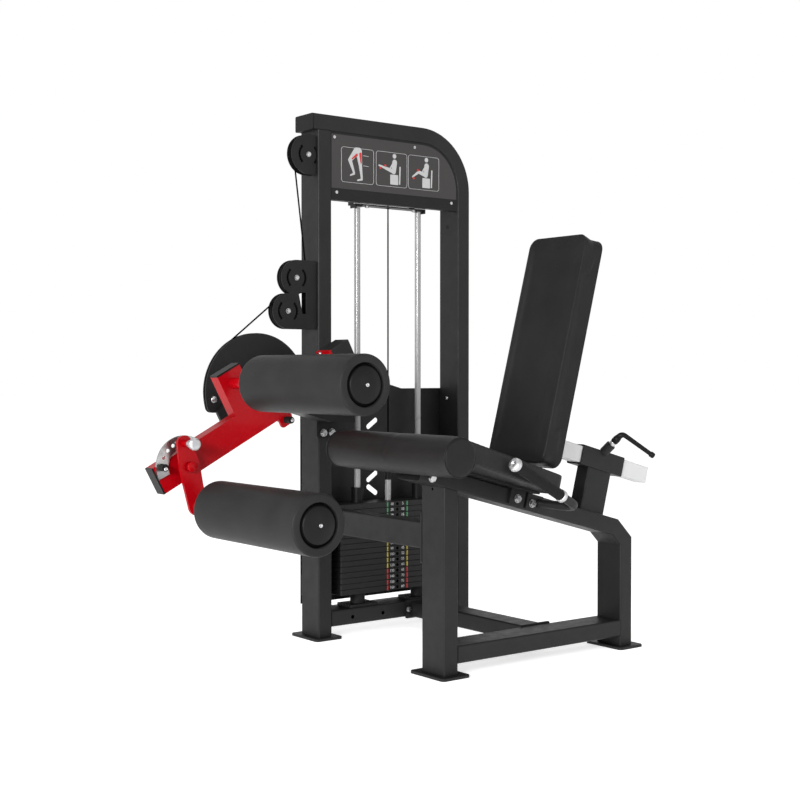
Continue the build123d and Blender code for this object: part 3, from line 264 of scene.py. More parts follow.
INK_YELLOW = printed("ink_yellow", (0.42, 0.32, 0.02))
OVERLAY = printed("sign_overlay", (0.019, 0.017, 0.0165), 0.5)

SLOT_MATERIALS = {
    "black_frame": POWDER,
    "red_paint": RED,
    "silver_paint": SILVER,
    "chrome": CHROME,
    "zinc": ZINC,
    "machined": MACHINED,
    "aluminium": ALUMINIUM,
    "cast_plates": CAST,
    "pulley_nylon": NYLON,
    "cap_plastic": PLASTIC,
    "clamp_plastic": PLASTIC,
    "cable_jacket": CABLE,
    "grip_rubber": RUBBER,
    "bumper_rubber": STOP_RUBBER,
    "upholstery": VINYL,
    "roller_foam": FOAM,
    "sign_metal": SIGN_BASE,
    "shroud": POWDER,
}
NODE_MATERIALS = {
    "cam": CAM_BLACK,
    "top_pulley_bracket": BRACKET,
    "idler_bracket": BRACKET,
    "pivot_bracket": BRACKET,
    "ankle_index_plate": SATIN,
    "ankle_pin": ALUMINIUM,
    "start_pin": ALUMINIUM,
}


def dress_cad_nodes():
    """Gives every CAD node that stays on show its procedural material."""
    slots = {s["node"]: s["material_slot"] for s in frame["record"]["subparts"]}
    for name, obj in frame["nodes"].items():
        mat = NODE_MATERIALS.get(name) or SLOT_MATERIALS[slots[name]]
        obj.data.materials.clear()
        obj.data.materials.append(mat)


# ---------------------------------------------------------------- mesh helpers


def make_piece(name, mesh, mat, body, smooth=True):
    """Object from a bmesh, with its material, on its body."""
    data = bpy.data.meshes.new(name)
    bmesh.ops.recalc_face_normals(mesh, faces=mesh.faces)
    mesh.to_mesh(data)
    mesh.free()
    obj = bpy.data.objects.new(name, data)
    scene.collection.objects.link(obj)
    data.materials.append(mat)
    if smooth:
        data.shade_smooth()
    if body:
        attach(obj, body)
    return obj


def frame_from(origin, axis, up=Vector((0, 0, 1))):
    """Matrix with its Z along axis and its origin at a point."""
    z = axis.normalized()
    x = up.cross(z)
    if x.length < 1e-6:
        x = Vector((1, 0, 0)).cross(z)
    x.normalize()
    y = z.cross(x)
    return Matrix.Translation(origin) @ Matrix((x, y, z)).transposed().to_4x4()


def add_lathe(mesh, profile, place, segments=72):
    """Turns a profile of (radius, height) millimetres round the place's Z axis."""
    rings = []
    for radius, height in profile:
        if radius < 1e-4:
            rings.append([mesh.verts.new(place @ Vector((0, 0, height * MM)))])
            continue
        ring = []
        for i in range(segments):
            turn = 2 * math.pi * i / segments
            point = Vector((radius * math.cos(turn), radius * math.sin(turn), height)) * MM
            ring.append(mesh.verts.new(place @ point))
        rings.append(ring)
    for below, above in zip(rings, rings[1:]):
        for i in range(segments):
            j = (i + 1) % segments
            if len(below) == 1 and len(above) > 1:
                mesh.faces.new((below[0], above[j], above[i]))
            elif len(above) == 1 and len(below) > 1:
                mesh.faces.new((below[i], below[j], above[0]))
            elif len(below) > 1:
                mesh.faces.new((below[i], below[j], above[j], above[i]))


def arc_points(centre, radius, start, end, steps):
    """Points along an arc of a lathe profile or a flat outline, angles in degrees."""
    points = []
    for i in range(steps + 1):
        turn = math.radians(start + (end - start) * i / steps)
        points.append((centre[0] + radius * math.cos(turn), centre[1] + radius * math.sin(turn)))
    return points


def add_tube(mesh, points, radii, sides=20, cap=True):
    """Round tube through points in metres with a radius in millimetres at each."""
    rings = []
    side = None
    for i, point in enumerate(points):
        before = points[max(i - 1, 0)]
        after = points[min(i + 1, len(points) - 1)]
        along = (after - before).normalized()
        if side is None:
            side = along.orthogonal().normalized()
        side = (side - along * side.dot(along)).normalized()
        other = along.cross(side)
        ring = []
        for k in range(sides):
            turn = 2 * math.pi * k / sides
            offset = side * math.cos(turn) + other * math.sin(turn)
            ring.append(mesh.verts.new(point + offset * radii[i] * MM))
        rings.append(ring)
    for below, above in zip(rings, rings[1:]):
        for k in range(sides):
            j = (k + 1) % sides
            mesh.faces.new((below[k], below[j], above[j], above[k]))
    if cap:
        mesh.faces.new(list(reversed(rings[0])))
        mesh.faces.new(rings[-1])


def add_prism(mesh, outline, thickness):
    """Closed prism: an outline of points in metres pushed along a vector."""
    low = [mesh.verts.new(p) for p in outline]
    high = [mesh.verts.new(p + thickness) for p in outline]
    mesh.faces.new(low)
    mesh.faces.new(list(reversed(high)))
    for i in range(len(outline)):
        j = (i + 1) % len(outline)
        mesh.faces.new((low[i], high[i], high[j], low[j]))


def rounded_outline(corners, radii, steps=6):
    """2-D outline through corner points, each rounded by its radius."""
    result = []
    count = len(corners)
    for i, corner in enumerate(corners):
        here = Vector(corner)
        before = (Vector(corners[i - 1]) - here).normalized()
        after = (Vector(corners[(i + 1) % count]) - here).normalized()
        half = before.angle(after) / 2
        reach = radii[i] / math.tan(half)
        start = here + before * reach
        end = here + after * reach
        centre = here + (before + after).normalized() * (radii[i] / math.sin(half))
        first = start - centre
        last = end - centre
        for k in range(steps + 1):
            mix = first.lerp(last, k / steps)
            result.append(centre + mix.normalized() * radii[i] if radii[i] else here)
    return result


# ---------------------------------------------------------------- cushions


VOXEL = 0.005
CLOTH_FRAMES = 20
CLOTH_TRAVEL = 0.005
SEAM_REACH = 0.045


def apply_modifiers(obj):
    """Replaces the object's mesh with its evaluated one."""
    graph = bpy.context.evaluated_depsgraph_get()
    graph.update()
    data = bpy.data.meshes.new_from_object(obj.evaluated_get(graph))
    obj.modifiers.clear()
    obj.data = data


def remesh(obj):
    """Voxel remesh of an object, fine enough for cloth."""
    modifier = obj.modifiers.new("Remesh", "REMESH")
    modifier.mode = "VOXEL"
    modifier.voxel_size = VOXEL
    apply_modifiers(obj)


def inflate(obj, hold):
    """Swells a cushion as pressurised cloth by CLOTH_TRAVEL at most, less where hold says so."""
    rest = [v.co.copy() for v in obj.data.vertices]
    cloth = obj.modifiers.new("Cloth", "CLOTH")
    cloth.settings.use_pressure = True
    cloth.settings.uniform_pressure_force = 4.0
    cloth.settings.effector_weights.gravity = 0
    cloth.point_cache.frame_start = 1
    cloth.point_cache.frame_end = CLOTH_FRAMES
    for step in range(1, CLOTH_FRAMES + 1):
        scene.frame_set(step)
    graph = bpy.context.evaluated_depsgraph_get()
    moved = [v.co.copy() for v in obj.evaluated_get(graph).data.vertices]
    obj.modifiers.clear()
    scene.frame_set(1)
    for vertex, before, after in zip(obj.data.vertices, rest, moved):
        push = after - before
        if push.length > CLOTH_TRAVEL:
            push *= CLOTH_TRAVEL / push.length
        vertex.co = before + push * hold(before)
    obj.data.update()


def soften(obj):
    """Relaxes voxel steps, then subdivides."""
    smooth = obj.modifiers.new("Smooth", "SMOOTH")
    smooth.factor = 0.5
    smooth.iterations = 2
    finer = obj.modifiers.new("Subdivision", "SUBSURF")
    finer.levels = 1
    finer.render_levels = 1
    apply_modifiers(obj)
    obj.data.shade_smooth()


def seam_hold(distance, flat):
    """How far a cushion's point may swell: nothing on a seam or the board, all of it between."""
    ease = max(0.0, min(1.0, distance / SEAM_REACH))
    return ease * ease * (3 - 2 * ease) * flat


SEAT_ROLL = (-130.5, 12.0, 51.0)
SEAT_HALVES = (268.0, 154.0)
SEAT_ENDS = (-130.5, 351.0)
SEAT_LEVELS = (6.5, 63.0)


def seat_half_at(s):
    """Half the seat's width at a distance along the beam."""
    share = (s - SEAT_ENDS[0]) / (SEAT_ENDS[1] - SEAT_ENDS[0])
    return SEAT_HALVES[0] + (SEAT_HALVES[1] - SEAT_HALVES[0]) * share


def seat_outline(inset=0.0):
    """Seat plan in (s, y): straight front under the roll, tapering sides, rounded back corners."""
    front = SEAT_HALVES[0] - inset
    rear = SEAT_HALVES[1] - inset
    corners = [
        (SEAT_ENDS[0], SEAT_MID_Y - front),
        (SEAT_ENDS[1] - inset, SEAT_MID_Y - rear),
        (SEAT_ENDS[1] - inset, SEAT_MID_Y + rear),
        (SEAT_ENDS[0], SEAT_MID_Y + front),
    ]
    return rounded_outline(corners, (0.01, 30, 30, 0.01))


def finish_cushion(cushion, node, body, hold):
    """Swells and smooths a cushion built in the seat's axes, then puts it in its place."""
    inflate(cushion, hold)
    soften(cushion)
    cushion.data.transform(seat_axes())
    cushion.data.materials.clear()
    cushion.data.materials.append(VINYL)
    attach(cushion, body)
    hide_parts(node)


def seat_cushion():
    """Tapered cushion and its front roll as one stuffed vinyl form."""
    mesh = bmesh.new()
    low, high = SEAT_LEVELS
    outline = [Vector((s, y, low)) * MM for s, y in seat_outline()]
    add_prism(mesh, outline, Vector((0, 0, high - low)) * MM)
    s, n, radius = SEAT_ROLL
    start = Vector((s, SEAT_MID_Y - SEAT_HALVES[0], n)) * MM
    profile = [(0, 0), (radius, 0), (radius, 2 * SEAT_HALVES[0]), (0, 2 * SEAT_HALVES[0])]
    add_lathe(mesh, profile, frame_from(start, ACROSS))
    cushion = make_piece("seat_cushion", mesh, VINYL, None)
    remesh(cushion)

    def hold(point):
        here = point / MM
        edge = seat_half_at(here.x) - abs(here.y - SEAT_MID_Y)
        on_board = 0.0 if here.z < SEAT_LEVELS[0] + 3 and here.x > SEAT_ROLL[0] + 50 else 1.0
        seam = min(abs(edge), abs(SEAT_ENDS[1] - here.x)) * MM
        return seam_hold(seam, on_board)

    finish_cushion(cushion, "seat_pad", "frame", hold)


def seat_welts():
    """Sewn welts round the roll's ends and along the cushion's upper edge."""
    mesh = bmesh.new()
    s, n, radius = SEAT_ROLL
    for side in (-1, 1):
        y = SEAT_MID_Y + side * (SEAT_HALVES[0] - 5)
        ring = []
        for i in range(65):
            turn = 2 * math.pi * i / 64
            around = ALONG_SEAT * math.cos(turn) + OFF_SEAT * math.sin(turn)
            ring.append(on_seat(s, y, n) + around * (radius + 0.2) * MM)
        add_tube(mesh, ring, [1.7] * len(ring), sides=8, cap=False)
    edge = [p for p in seat_outline(2.0) if p[0] > SEAT_ENDS[0] + 60]
    front_s = SEAT_ENDS[0] + 20
    ends = []
    for side in (-1, 1):
        ends.append((front_s, SEAT_MID_Y + side * (seat_half_at(front_s) - 2.0)))
    path = [ends[0], *[(p[0], p[1]) for p in edge], ends[1]]
    points = [on_seat(a, b, SEAT_LEVELS[1] - 3.5) for a, b in path]
    add_tube(mesh, points, [1.6] * len(points), sides=8)
    make_piece("seat_welts", mesh, VINYL, "frame")


BACK_START = 287.5
BACK_THICK = 74.0
BACK_LEVELS = (82.5, 764.5)
BACK_HALF = 120.0
BACK_ROUND = 30.0


def back_outline(inset=0.0):
    """Backrest outline in (y, n) with rounded corners."""
    half = BACK_HALF - inset
    low = BACK_LEVELS[0] + inset
    high = BACK_LEVELS[1] - inset
    corners = [
        (SEAT_MID_Y - half, low),
        (SEAT_MID_Y + half, low),
        (SEAT_MID_Y + half, high),
        (SEAT_MID_Y - half, high),
    ]
    return rounded_outline(corners, (BACK_ROUND,) * 4)


def back_cushion():
    """Backrest cushion: crowned front, pulled-in sides, flat board behind."""
    mesh = bmesh.new()
    outline = [Vector((BACK_START, y, n)) * MM for y, n in back_outline()]
    add_prism(mesh, outline, Vector((BACK_THICK, 0, 0)) * MM)
    cushion = make_piece("back_cushion", mesh, VINYL, None)
    remesh(cushion)

    def hold(point):
        here = point / MM
        side = BACK_HALF - abs(here.y - SEAT_MID_Y)
        end = min(here.z - BACK_LEVELS[0], BACK_LEVELS[1] - here.z)
        rim = max(0.0, min(side, end))
        front = here.x - BACK_START
        on_board = 0.0 if front > BACK_THICK - 4 else 1.0
        seam = max(rim, min(front, BACK_THICK - front)) * MM
        return seam_hold(seam, on_board)

    finish_cushion(cushion, "back_pad", "backrest", hold)


def back_welts():
    """Sewn welts round the backrest's front and back edges."""
    mesh = bmesh.new()
    for s in (BACK_START + 4.0, BACK_START + BACK_THICK - 4.0):
        loop = [on_seat(s, y, n) for y, n in back_outline(1.2)]
        loop.append(loop[0].copy())
        add_tube(mesh, loop, [1.7] * len(loop), sides=8, cap=False)
    make_piece("back_welts", mesh, VINYL, "backrest")


# ---------------------------------------------------------------- rollers


ROLLER_LIP = 55.5
DOME_R = 46.5
DOME_RISE = 10.0


def roller_foam(node, body):
    """Skinned foam roller: soft shoulders, a lip and a recess at each end."""
    low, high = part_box(node)
    centre = (low + high) / 2
    length = (high.y - low.y) / MM
    radius = (high.z - low.z) / 2 / MM
    shoulder = 12.0
    lip = 2.0
    depth = 14.0
    near = [(ROLLER_LIP - 8, depth), (ROLLER_LIP, depth)]
    near += arc_points((ROLLER_LIP + lip, lip), lip, 180, 270, 4)
    far = [(r, length - h) for r, h in reversed(near)]
    near += arc_points((radius - 7.0, 7.0), 7.0, -90, 0, 8)
    far = arc_points((radius - shoulder, length - shoulder), shoulder, 0, 90, 8) + far
    ribs = [(radius, shoulder + (length - 2 * shoulder) * i / 12) for i in range(1, 12)]
    mesh = bmesh.new()
    place = frame_from(Vector((centre.x, low.y, centre.z)), ACROSS)
    add_lathe(mesh, near + ribs + far, place, segments=96)
    foam = make_piece(f"{node}_foam", mesh, FOAM, body)
    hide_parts(node)


def dome_profile(bore):
    """Section of a roller's end cap: a dome that stands proud of the foam, with a deep rim."""
    profile = [(bore, 14.0), (bore, 1.0 - DOME_RISE)]
    for i in range(1, 13):
        radius = bore + (DOME_R - bore) * i / 12
        profile.append((radius, 1.0 - DOME_RISE * (1 - (radius / DOME_R) ** 2)))
    profile += [(DOME_R + 0.6, 2.0), (DOME_R + 0.6, 11.0)]
    profile += [(ROLLER_LIP - 0.6, 11.0), (ROLLER_LIP - 0.6, 14.0)]
    return profile


def roller_ends(node, body):
    """Domed plastic caps at both ends of a roller and the socket bolt in the near one."""
    low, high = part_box(node)
    centre = (low + high) / 2
    near_place = frame_from(Vector((centre.x, low.y, centre.z)), ACROSS)
    far_place = frame_from(Vector((centre.x, high.y, centre.z)), -ACROSS)
    mesh = bmesh.new()
    add_lathe(mesh, [(0, -4.0), *dome_profile(8.0)[1:]], near_place)
    add_lathe(mesh, dome_profile(16.3), far_place)
    ends = make_piece(f"{node}_domes", mesh, PLASTIC, body)
    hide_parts(f"{node}_caps")
    mesh = bmesh.new()
    bolt = [(0, -5.5), (2.4, -5.5), (2.6, -8.4), (4.4, -8.2), (5.6, -6.8), (6.0, -3.5), (0, -3.5)]
    add_lathe(mesh, bolt, near_place, segments=36)
    make_piece(f"{node}_bolt", mesh, ZINC, body)


# ---------------------------------------------------------------- handles and clamp


def handle_line(side):
    """The straight stretch of one handle: its free end and the direction back to the bend."""
    low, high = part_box("seat_beam")
    outer = (high.y - low.y) / 2 / MM
    bend = spot(380.0, SEAT_MID_Y + side * (134.0 + outer), 457.5)
    tip = spot(90.0, SEAT_MID_Y + side * (192.0 + outer), 592.0)
    return tip, (bend - tip).normalized()


def handle_fittings():
    """Rubber grips with soft ribs, aluminium rings and domed ends, both sides."""
    grip_long = 222.0
    ring_long = 14.0
    rib_count = 36
    grips = bmesh.new()
    metal = bmesh.new()
    for side in (-1, 1):
        tip, back = handle_line(side)
        place = frame_from(tip, back)
        grip = [(12.6, 0.5), (15.0, 0.5), (16.0, 2.0)]
        for i in range(1, rib_count):
            height = 2 + (grip_long - 4) * i / rib_count
            grip.append((16.0 - 0.35 * (i % 2), height))
        grip += [(16.0, grip_long - 2), (15.0, grip_long), (12.6, grip_long)]
        add_lathe(grips, grip, place, segments=40)
        ring = [(12.6, grip_long), (16.6, grip_long), (17.6, grip_long + 1.2)]
        ring += [(17.6, grip_long + ring_long - 1.2), (16.6, grip_long + ring_long)]
        ring += [(12.6, grip_long + ring_long)]
        add_lathe(metal, ring, place, segments=48)
        ball = [(2.2, -11.0), (2.6, -15.6)] + arc_points((9.5, -6.0), 9.5, 270, 360, 8)
        ball = [(0, -11.0), *ball, (19.0, -2.0), (17.2, 0.0), (17.2, 1.2), (0, 1.2)]
        add_lathe(metal, ball, place, segments=48)
    rubber = make_piece("grip_sleeves", grips, RUBBER, "frame")
    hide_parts("handle_grips")
    ends = make_piece("grip_end_metal", metal, ALUMINIUM, "frame")
    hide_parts("handle_ends")


def clamp_frame():
    """Origin on the sleeve's edge, the screw's direction and the arm's direction."""
    edge = on_seat(615.0, 20.0, 190.0)
    screw = (OFF_SEAT - ACROSS).normalized()
    arm = Matrix.Rotation(math.radians(-30), 3, screw) @ ALONG_SEAT
    return edge, screw, arm


def clamp_handle():
    """Clamping lever: steel collar, hub, bent neck and a slim arm with a block end."""
    edge, screw, arm = clamp_frame()
    place = frame_from(edge, screw)
    mesh = bmesh.new()
    add_lathe(mesh, [(0, 42), (10.5, 42), (11.5, 44), (11.5, 56), (9.4, 66), (0, 66)], place, 36)
    elbow = 12.0
    corner = edge + (screw * 68 + arm * elbow) * MM
    route = [edge + screw * 56 * MM]
    widths = [9.4]
    for i in range(7):
        turn = math.radians(15 * i)
        route.append(corner + (screw * math.sin(turn) - arm * math.cos(turn)) * elbow * MM)
        widths.append(9.4 - 0.35 * i)
    bend_end = route[-1]
    for i in range(1, 9):
        route.append(bend_end + arm * (12.0 * i) * MM)
        widths.append(7.2 - 0.08 * i)
    arm_end = route[-1]
    route += [arm_end + arm * d * MM for d in (1, 2, 13, 14.5)]
    widths += [6.5, 9.0, 8.6, 6.8]
    add_tube(mesh, route, widths, sides=16)
    lever = make_piece("clamp_handle", mesh, PLASTIC, "clamp")
    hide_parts("clamp_lever")
    collar = bmesh.new()
    add_lathe(collar, [(0, 28.6), (9.5, 28.6), (10, 29.5), (10, 41), (9.5, 42), (0, 42)], place, 36)
    make_piece("clamp_collar", collar, ZINC, "clamp")


# ---------------------------------------------------------------- cable details


CABLE_Y = 680.5
CABLE_RISE = 38.11
CABLE_R = 2.5
GROOVE_R = 175.2


def cable_lead():
    """The cable between the cam's groove and the start of its guided stretch."""
    heading = math.radians(CABLE_RISE)
    along = Vector((math.cos(heading), 0, math.sin(heading)))
    out = Vector((-math.sin(heading), 0, math.cos(heading)))
    leave = spot(PIVOT_X, CABLE_Y, PIVOT_Z) + out * GROOVE_R * MM
    mesh = bmesh.new()
    add_tube(mesh, [leave, leave + along * 45 * MM], [CABLE_R, CABLE_R], sides=16)
    make_piece("cable_lead", mesh, CABLE, "frame")


STACK_LIFT = 184.0


def stack_cable():
    """The drop to the stack in two lengths, so that the lifted one never passes its pulley."""
    low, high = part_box("stack_cable")
    centre = (low + high) / 2
    radius = (high.x - low.x) / 2 / MM
    bottom = Vector((centre.x, centre.y, low.z))
    top = Vector((centre.x, centre.y, high.z))
    join = top - Vector((0, 0, STACK_LIFT * MM))
    lifted = bmesh.new()
    add_tube(lifted, [bottom, join], [radius, radius], sides=16)
    piece = make_piece("stack_cable_lifted", lifted, CABLE, "carriage")
    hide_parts("stack_cable")
    still = bmesh.new()
    add_tube(still, [join, top], [radius - 0.1, radius - 0.1], sides=16)
    make_piece("stack_cable_top", still, CABLE, "frame")


# ---------------------------------------------------------------- small hardware


BUTTON_HEAD = [(0, -2.2), (0.34, -2.2), (0.4, -4.4), (0.62, -4.3), (0.88, -3.2)]
BUTTON_HEAD += [(1.0, -0.6), (1.0, 0), (0, 0)]
BOLT_R = 6.0
WASHER = [(0, -0.8), (7.4, -0.8), (7.8, -0.4), (7.8, 0), (0, 0)]
LEVER_FACE_Y = 422.9
LEVER_BOLTS = (("stop_bolt", -483.8, 29.0), ("tab_bolt", -68.5, -52.0))
RIGHT_LEG_X = 597.9
LEG_BOLT_Y = 716.6
UP = Vector((0, 0, 1))
AHEAD = Vector((1, 0, 0))


def turned(name, profile, place, mat, body, segments=36, smooth=True):
    """One turned piece: a lathe profile at a place, as its own object."""
    mesh = bmesh.new()
    add_lathe(mesh, profile, place, segments)
    return make_piece(name, mesh, mat, body, smooth)


def cam_anchor():
    """Round pin that anchors the cable's end to the cam."""
    pin = [(0, -6.0), (8.0, -6.0), (9.6, -5.2), (10.2, -4.0), (10.2, 0), (0, 0)]
    place = frame_from(spot(-334.0, 672.0, 758.5), ACROSS)
    turned("cable_anchor_pin", pin, place, ZINC, "cam", 40)


def lever_bolts():
    """Bolts in the rubber stops and the end plate, and the ankle pivot's painted boss."""
    for name, u, n in LEVER_BOLTS:
        place = frame_from(on_lever(u, LEVER_FACE_Y, n), ACROSS)
        head = [(r * BOLT_R, h - 0.8) for r, h in BUTTON_HEAD]
        turned(name, head, place, ZINC, "lever")
        turned(f"{name}_washer", WASHER, place, PLASTIC, "lever")
    arm_direction = on_lever(1.0, 0.0, 0.0) - on_lever(0.0, 0.0, 0.0)
    place = frame_from(on_lever(145.8, 486.0, 52.8), arm_direction)
    head = [(r * BOLT_R, h) for r, h in BUTTON_HEAD]
    turned("end_plate_bolt", head, place, ZINC, "lever")
    boss = [(0, -1.5), (13.0, -1.5), (14.0, -0.5), (14.0, 15.0), (0, 15.0)]
    place = frame_from(on_lever(-420.0, 400.5, 0.0), ACROSS)
    turned("ankle_pivot_boss", boss, place, RED, "lever", 48)


def tower_details():
    """Clip under the stack's stem, nuts under the rods' channel and a plug in the rear post."""
    clip = [(10.6, 0), (15, 0), (16, 1), (16, 3.5), (15, 4.5), (10.6, 4.5)]
    turned("stem_clip", clip, frame_from(spot(340.0, 708.0, 122.0), UP), ZINC, "frame", 40)
    nut = [(0, 0), (5.5, 0), (6.5, 1), (6.5, 7.5), (0, 7.5)]
    for i, x in enumerate((245.0, 435.0)):
        place = frame_from(spot(x, 694.0, 1368.5), UP)
        turned(f"channel_nut_{i}", nut, place, ZINC, "frame", segments=6, smooth=False)
    plug = [(3.0, -0.2), (3.4, -1.2), (5.4, -1.2), (6.0, 0.1), (3.0, 0.1)]
    place = frame_from(spot(RIGHT_LEG_X, 716.5, 1331.5), AHEAD)
    turned("post_plug", plug, place, PLASTIC, "frame", 30)


def shroud_bolt():
    """Bolt that holds the shroud's tab to the rear post."""
    bolt = [(0, -5), (4.5, -5), (6, -3.5), (6.4, 0), (0, 0)]
    place = frame_from(spot(RIGHT_LEG_X, LEG_BOLT_Y, 751.0), AHEAD)
    turned("shroud_bolt", bolt, place, ZINC, "frame", 30)


# ---------------------------------------------------------------- printed parts


PANEL_FRONT = 661.0
PRINT_FRONT = PANEL_FRONT - 0.5
INK_THICK = 0.35
PANEL_BEND = (448.0, 1444.0)
OVERLAY_SIDES = (83.0, 591.0)
OVERLAY_LOW = 1418.0


def flat_shape(mesh, outline, front, thick):
    """Thin printed shape in the XZ plane, its face towards -Y."""
    points = [spot(x, front, z) for x, z in outline]
    add_prism(mesh, points, -ACROSS * thick * MM)


def capsule(start, end, r_start, r_end, steps=8):
    """2-D outline of a limb: two round ends joined by straight sides."""
    a = Vector(start)
    b = Vector(end)
    along = (b - a).normalized()
    side = Vector((-along.y, along.x))
    outline = []
    for centre, radius, first in ((a, r_start, side), (b, r_end, -side)):
        base = math.atan2(first.y, first.x)
        for i in range(steps + 1):
            turn = base + math.pi * i / steps
            outline.append(centre + Vector((math.cos(turn), math.sin(turn))) * radius)
    return outline


def disc_outline(centre, radius, steps=20):
    """2-D circle."""
    middle_point = Vector(centre)
    turns = [2 * math.pi * i / steps for i in range(steps)]
    return [middle_point + Vector((math.cos(t), math.sin(t))) * radius for t in turns]


def sign_overlay():
    """Grey printed panel that follows the sheet's rounded corner."""
    left, right = OVERLAY_SIDES
    bend_x, bend_z = PANEL_BEND
    radius = right - bend_x
    outline = [(left, OVERLAY_LOW), (right, OVERLAY_LOW)]
    outline += arc_points(PANEL_BEND, radius, 0, 90, 12)
    outline.append((left, bend_z + radius))
    mesh = bmesh.new()
    flat_shape(mesh, outline, PANEL_FRONT, 0.5)
    make_piece("sign_overlay", mesh, OVERLAY, "frame", smooth=False)


FIGURE_FRAMES = ((121.0, 247.0), (257.0, 382.0), (388.0, 516.0))
FRAME_LEVELS = (1440.0, 1550.0)


def sign_frames():
    """Three rounded line frames."""
    mesh = bmesh.new()
    for left, right in FIGURE_FRAMES:
        low, high = FRAME_LEVELS
        corners = [(left, low), (right, low), (right, high), (left, high)]
        loop = [spot(x, PRINT_FRONT, z) for x, z in rounded_outline(corners, (9,) * 4)]
        loop.append(loop[0].copy())
        add_tube(mesh, loop, [0.7] * len(loop), sides=6, cap=False)
    make_piece("sign_frames", mesh, INK_GREY, "frame")


def print_shapes(mesh, outlines, front):
    """Prints outlines one over another, each a hair thicker than the last."""
    for i, outline in enumerate(outlines):
        flat_shape(mesh, outline, front, INK_THICK + 0.03 * i)


def seated_figure(grey, red, origin, knee_turn):
    """Generic seated figure on a block seat, its shin at an angle, pads as red dots."""
    x0, z0 = origin
    hip = (x0 + 12, z0 + 4)
    knee = (x0 - 18, z0 + 12)
    turn = math.radians(knee_turn)
    foot = (knee[0] + 30 * math.cos(turn), knee[1] + 30 * math.sin(turn))
    seat = [(x0 - 2, z0 - 38), (x0 + 30, z0 - 38), (x0 + 30, z0 - 6), (x0 - 2, z0 - 6)]
    outlines = [
        rounded_outline(seat, (2,) * 4),
        capsule((x0 + 36, z0 - 34), (x0 + 38, z0 + 20), 2.5, 2.5),
        capsule(hip, (x0 + 16, z0 + 34), 8.5, 9.5),
        capsule(hip, knee, 7.0, 5.0),
        capsule(knee, foot, 4.5, 2.5),
        capsule((x0 + 14, z0 + 36), (x0 - 2, z0 + 14), 3.0, 2.5),
        disc_outline((x0 + 15, z0 + 54), 7.5),
    ]
    print_shapes(grey, outlines, PRINT_FRONT)
    pads = []
    for share, offset in ((0.15, 8.0), (0.85, -7.0)):
        x = knee[0] + (foot[0] - knee[0]) * share
        pads.append(disc_outline((x, knee[1] + (foot[1] - knee[1]) * share + offset), 4.0))
    print_shapes(red, pads, PRINT_FRONT - 2 * INK_THICK)


def leg_figure(grey, red, origin):
    """Generic pair of legs with the worked muscles marked."""
    x0, z0 = origin
    bones = (
        ((x0 + 4, z0 + 46), (x0 - 22, z0 + 16), 12.0, 7.0),
        ((x0 - 22, z0 + 16), (x0 - 6, z0 - 24), 7.0, 3.5),
        ((x0 - 6, z0 - 26), (x0 - 20, z0 - 32), 3.5, 2.5),
        ((x0 + 12, z0 + 46), (x0 + 18, z0 + 6), 12.0, 7.0),
        ((x0 + 18, z0 + 6), (x0 + 24, z0 - 40), 6.5, 3.5),
        ((x0 + 24, z0 - 42), (x0 + 8, z0 - 46), 3.5, 2.5),
    )
    outlines = [capsule(*bone) for bone in bones]
    for level in (34, 2):
        outlines.append(capsule((x0 + 30, z0 + level), (x0 + 50, z0 + level - 1), 0.7, 0.7, 3))
    print_shapes(grey, outlines, PRINT_FRONT)
    muscles = (
        capsule((x0 + 18, z0 + 38), (x0 + 21, z0 + 10), 4.5, 2.0),
        capsule((x0 + 4, z0 + 34), (x0 - 14, z0 + 20), 4.0, 2.0),
    )
    print_shapes(red, muscles, PRINT_FRONT - 2 * INK_THICK)


def sign_figures():
    """The three generic pictures on the panel, with no title and no lettering."""
    grey = bmesh.new()
    red = bmesh.new()
    middles = [(left + right) / 2 for left, right in FIGURE_FRAMES]
    level = sum(FRAME_LEVELS) / 2
    leg_figure(grey, red, (middles[0] - 8, level))
    seated_figure(grey, red, (middles[1] - 4, level - 10), 165)
    seated_figure(grey, red, (middles[2] - 4, level - 10), 215)
    make_piece("sign_figures", grey, INK_GREY, "frame", smooth=False)
    make_piece("sign_marks", red, INK_RED, "frame", smooth=False)


STACK_ROWS = 16
LIFTED_ROWS = 6
ROW_BASE = 130.0
ROW_PITCH = 18.1
ROW_THICK = 17.7
STACK_MIDDLE = 340.0
BAR_OFFSET = 40.0
BAR_HALF = 2.6
BAR_LEVELS = (1.6, 16.1)
NUMBER_OFFSET = 22.0


def row_number(text, x, level):
    """One printed number as a thin mesh on the plates' front."""
    font = bpy.data.curves.new("row_number", "FONT")
    font.body = text
    font.size = 12.5 * MM
    font.align_x = "CENTER"
    font.align_y = "CENTER"
    font.extrude = 0.1 * MM
    font.resolution_u = 2
    obj = bpy.data.objects.new("row_number", font)
    data = bpy.data.meshes.new_from_object(obj)
    bpy.data.objects.remove(obj)
    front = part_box("top_plate")[0].y - 0.3 * MM
    place = Vector((spot(x, 0, 0).x, front, level * MM))
    data.transform(Matrix.Translation(place) @ Matrix.Rotation(math.radians(90), 4, "X"))
    return data


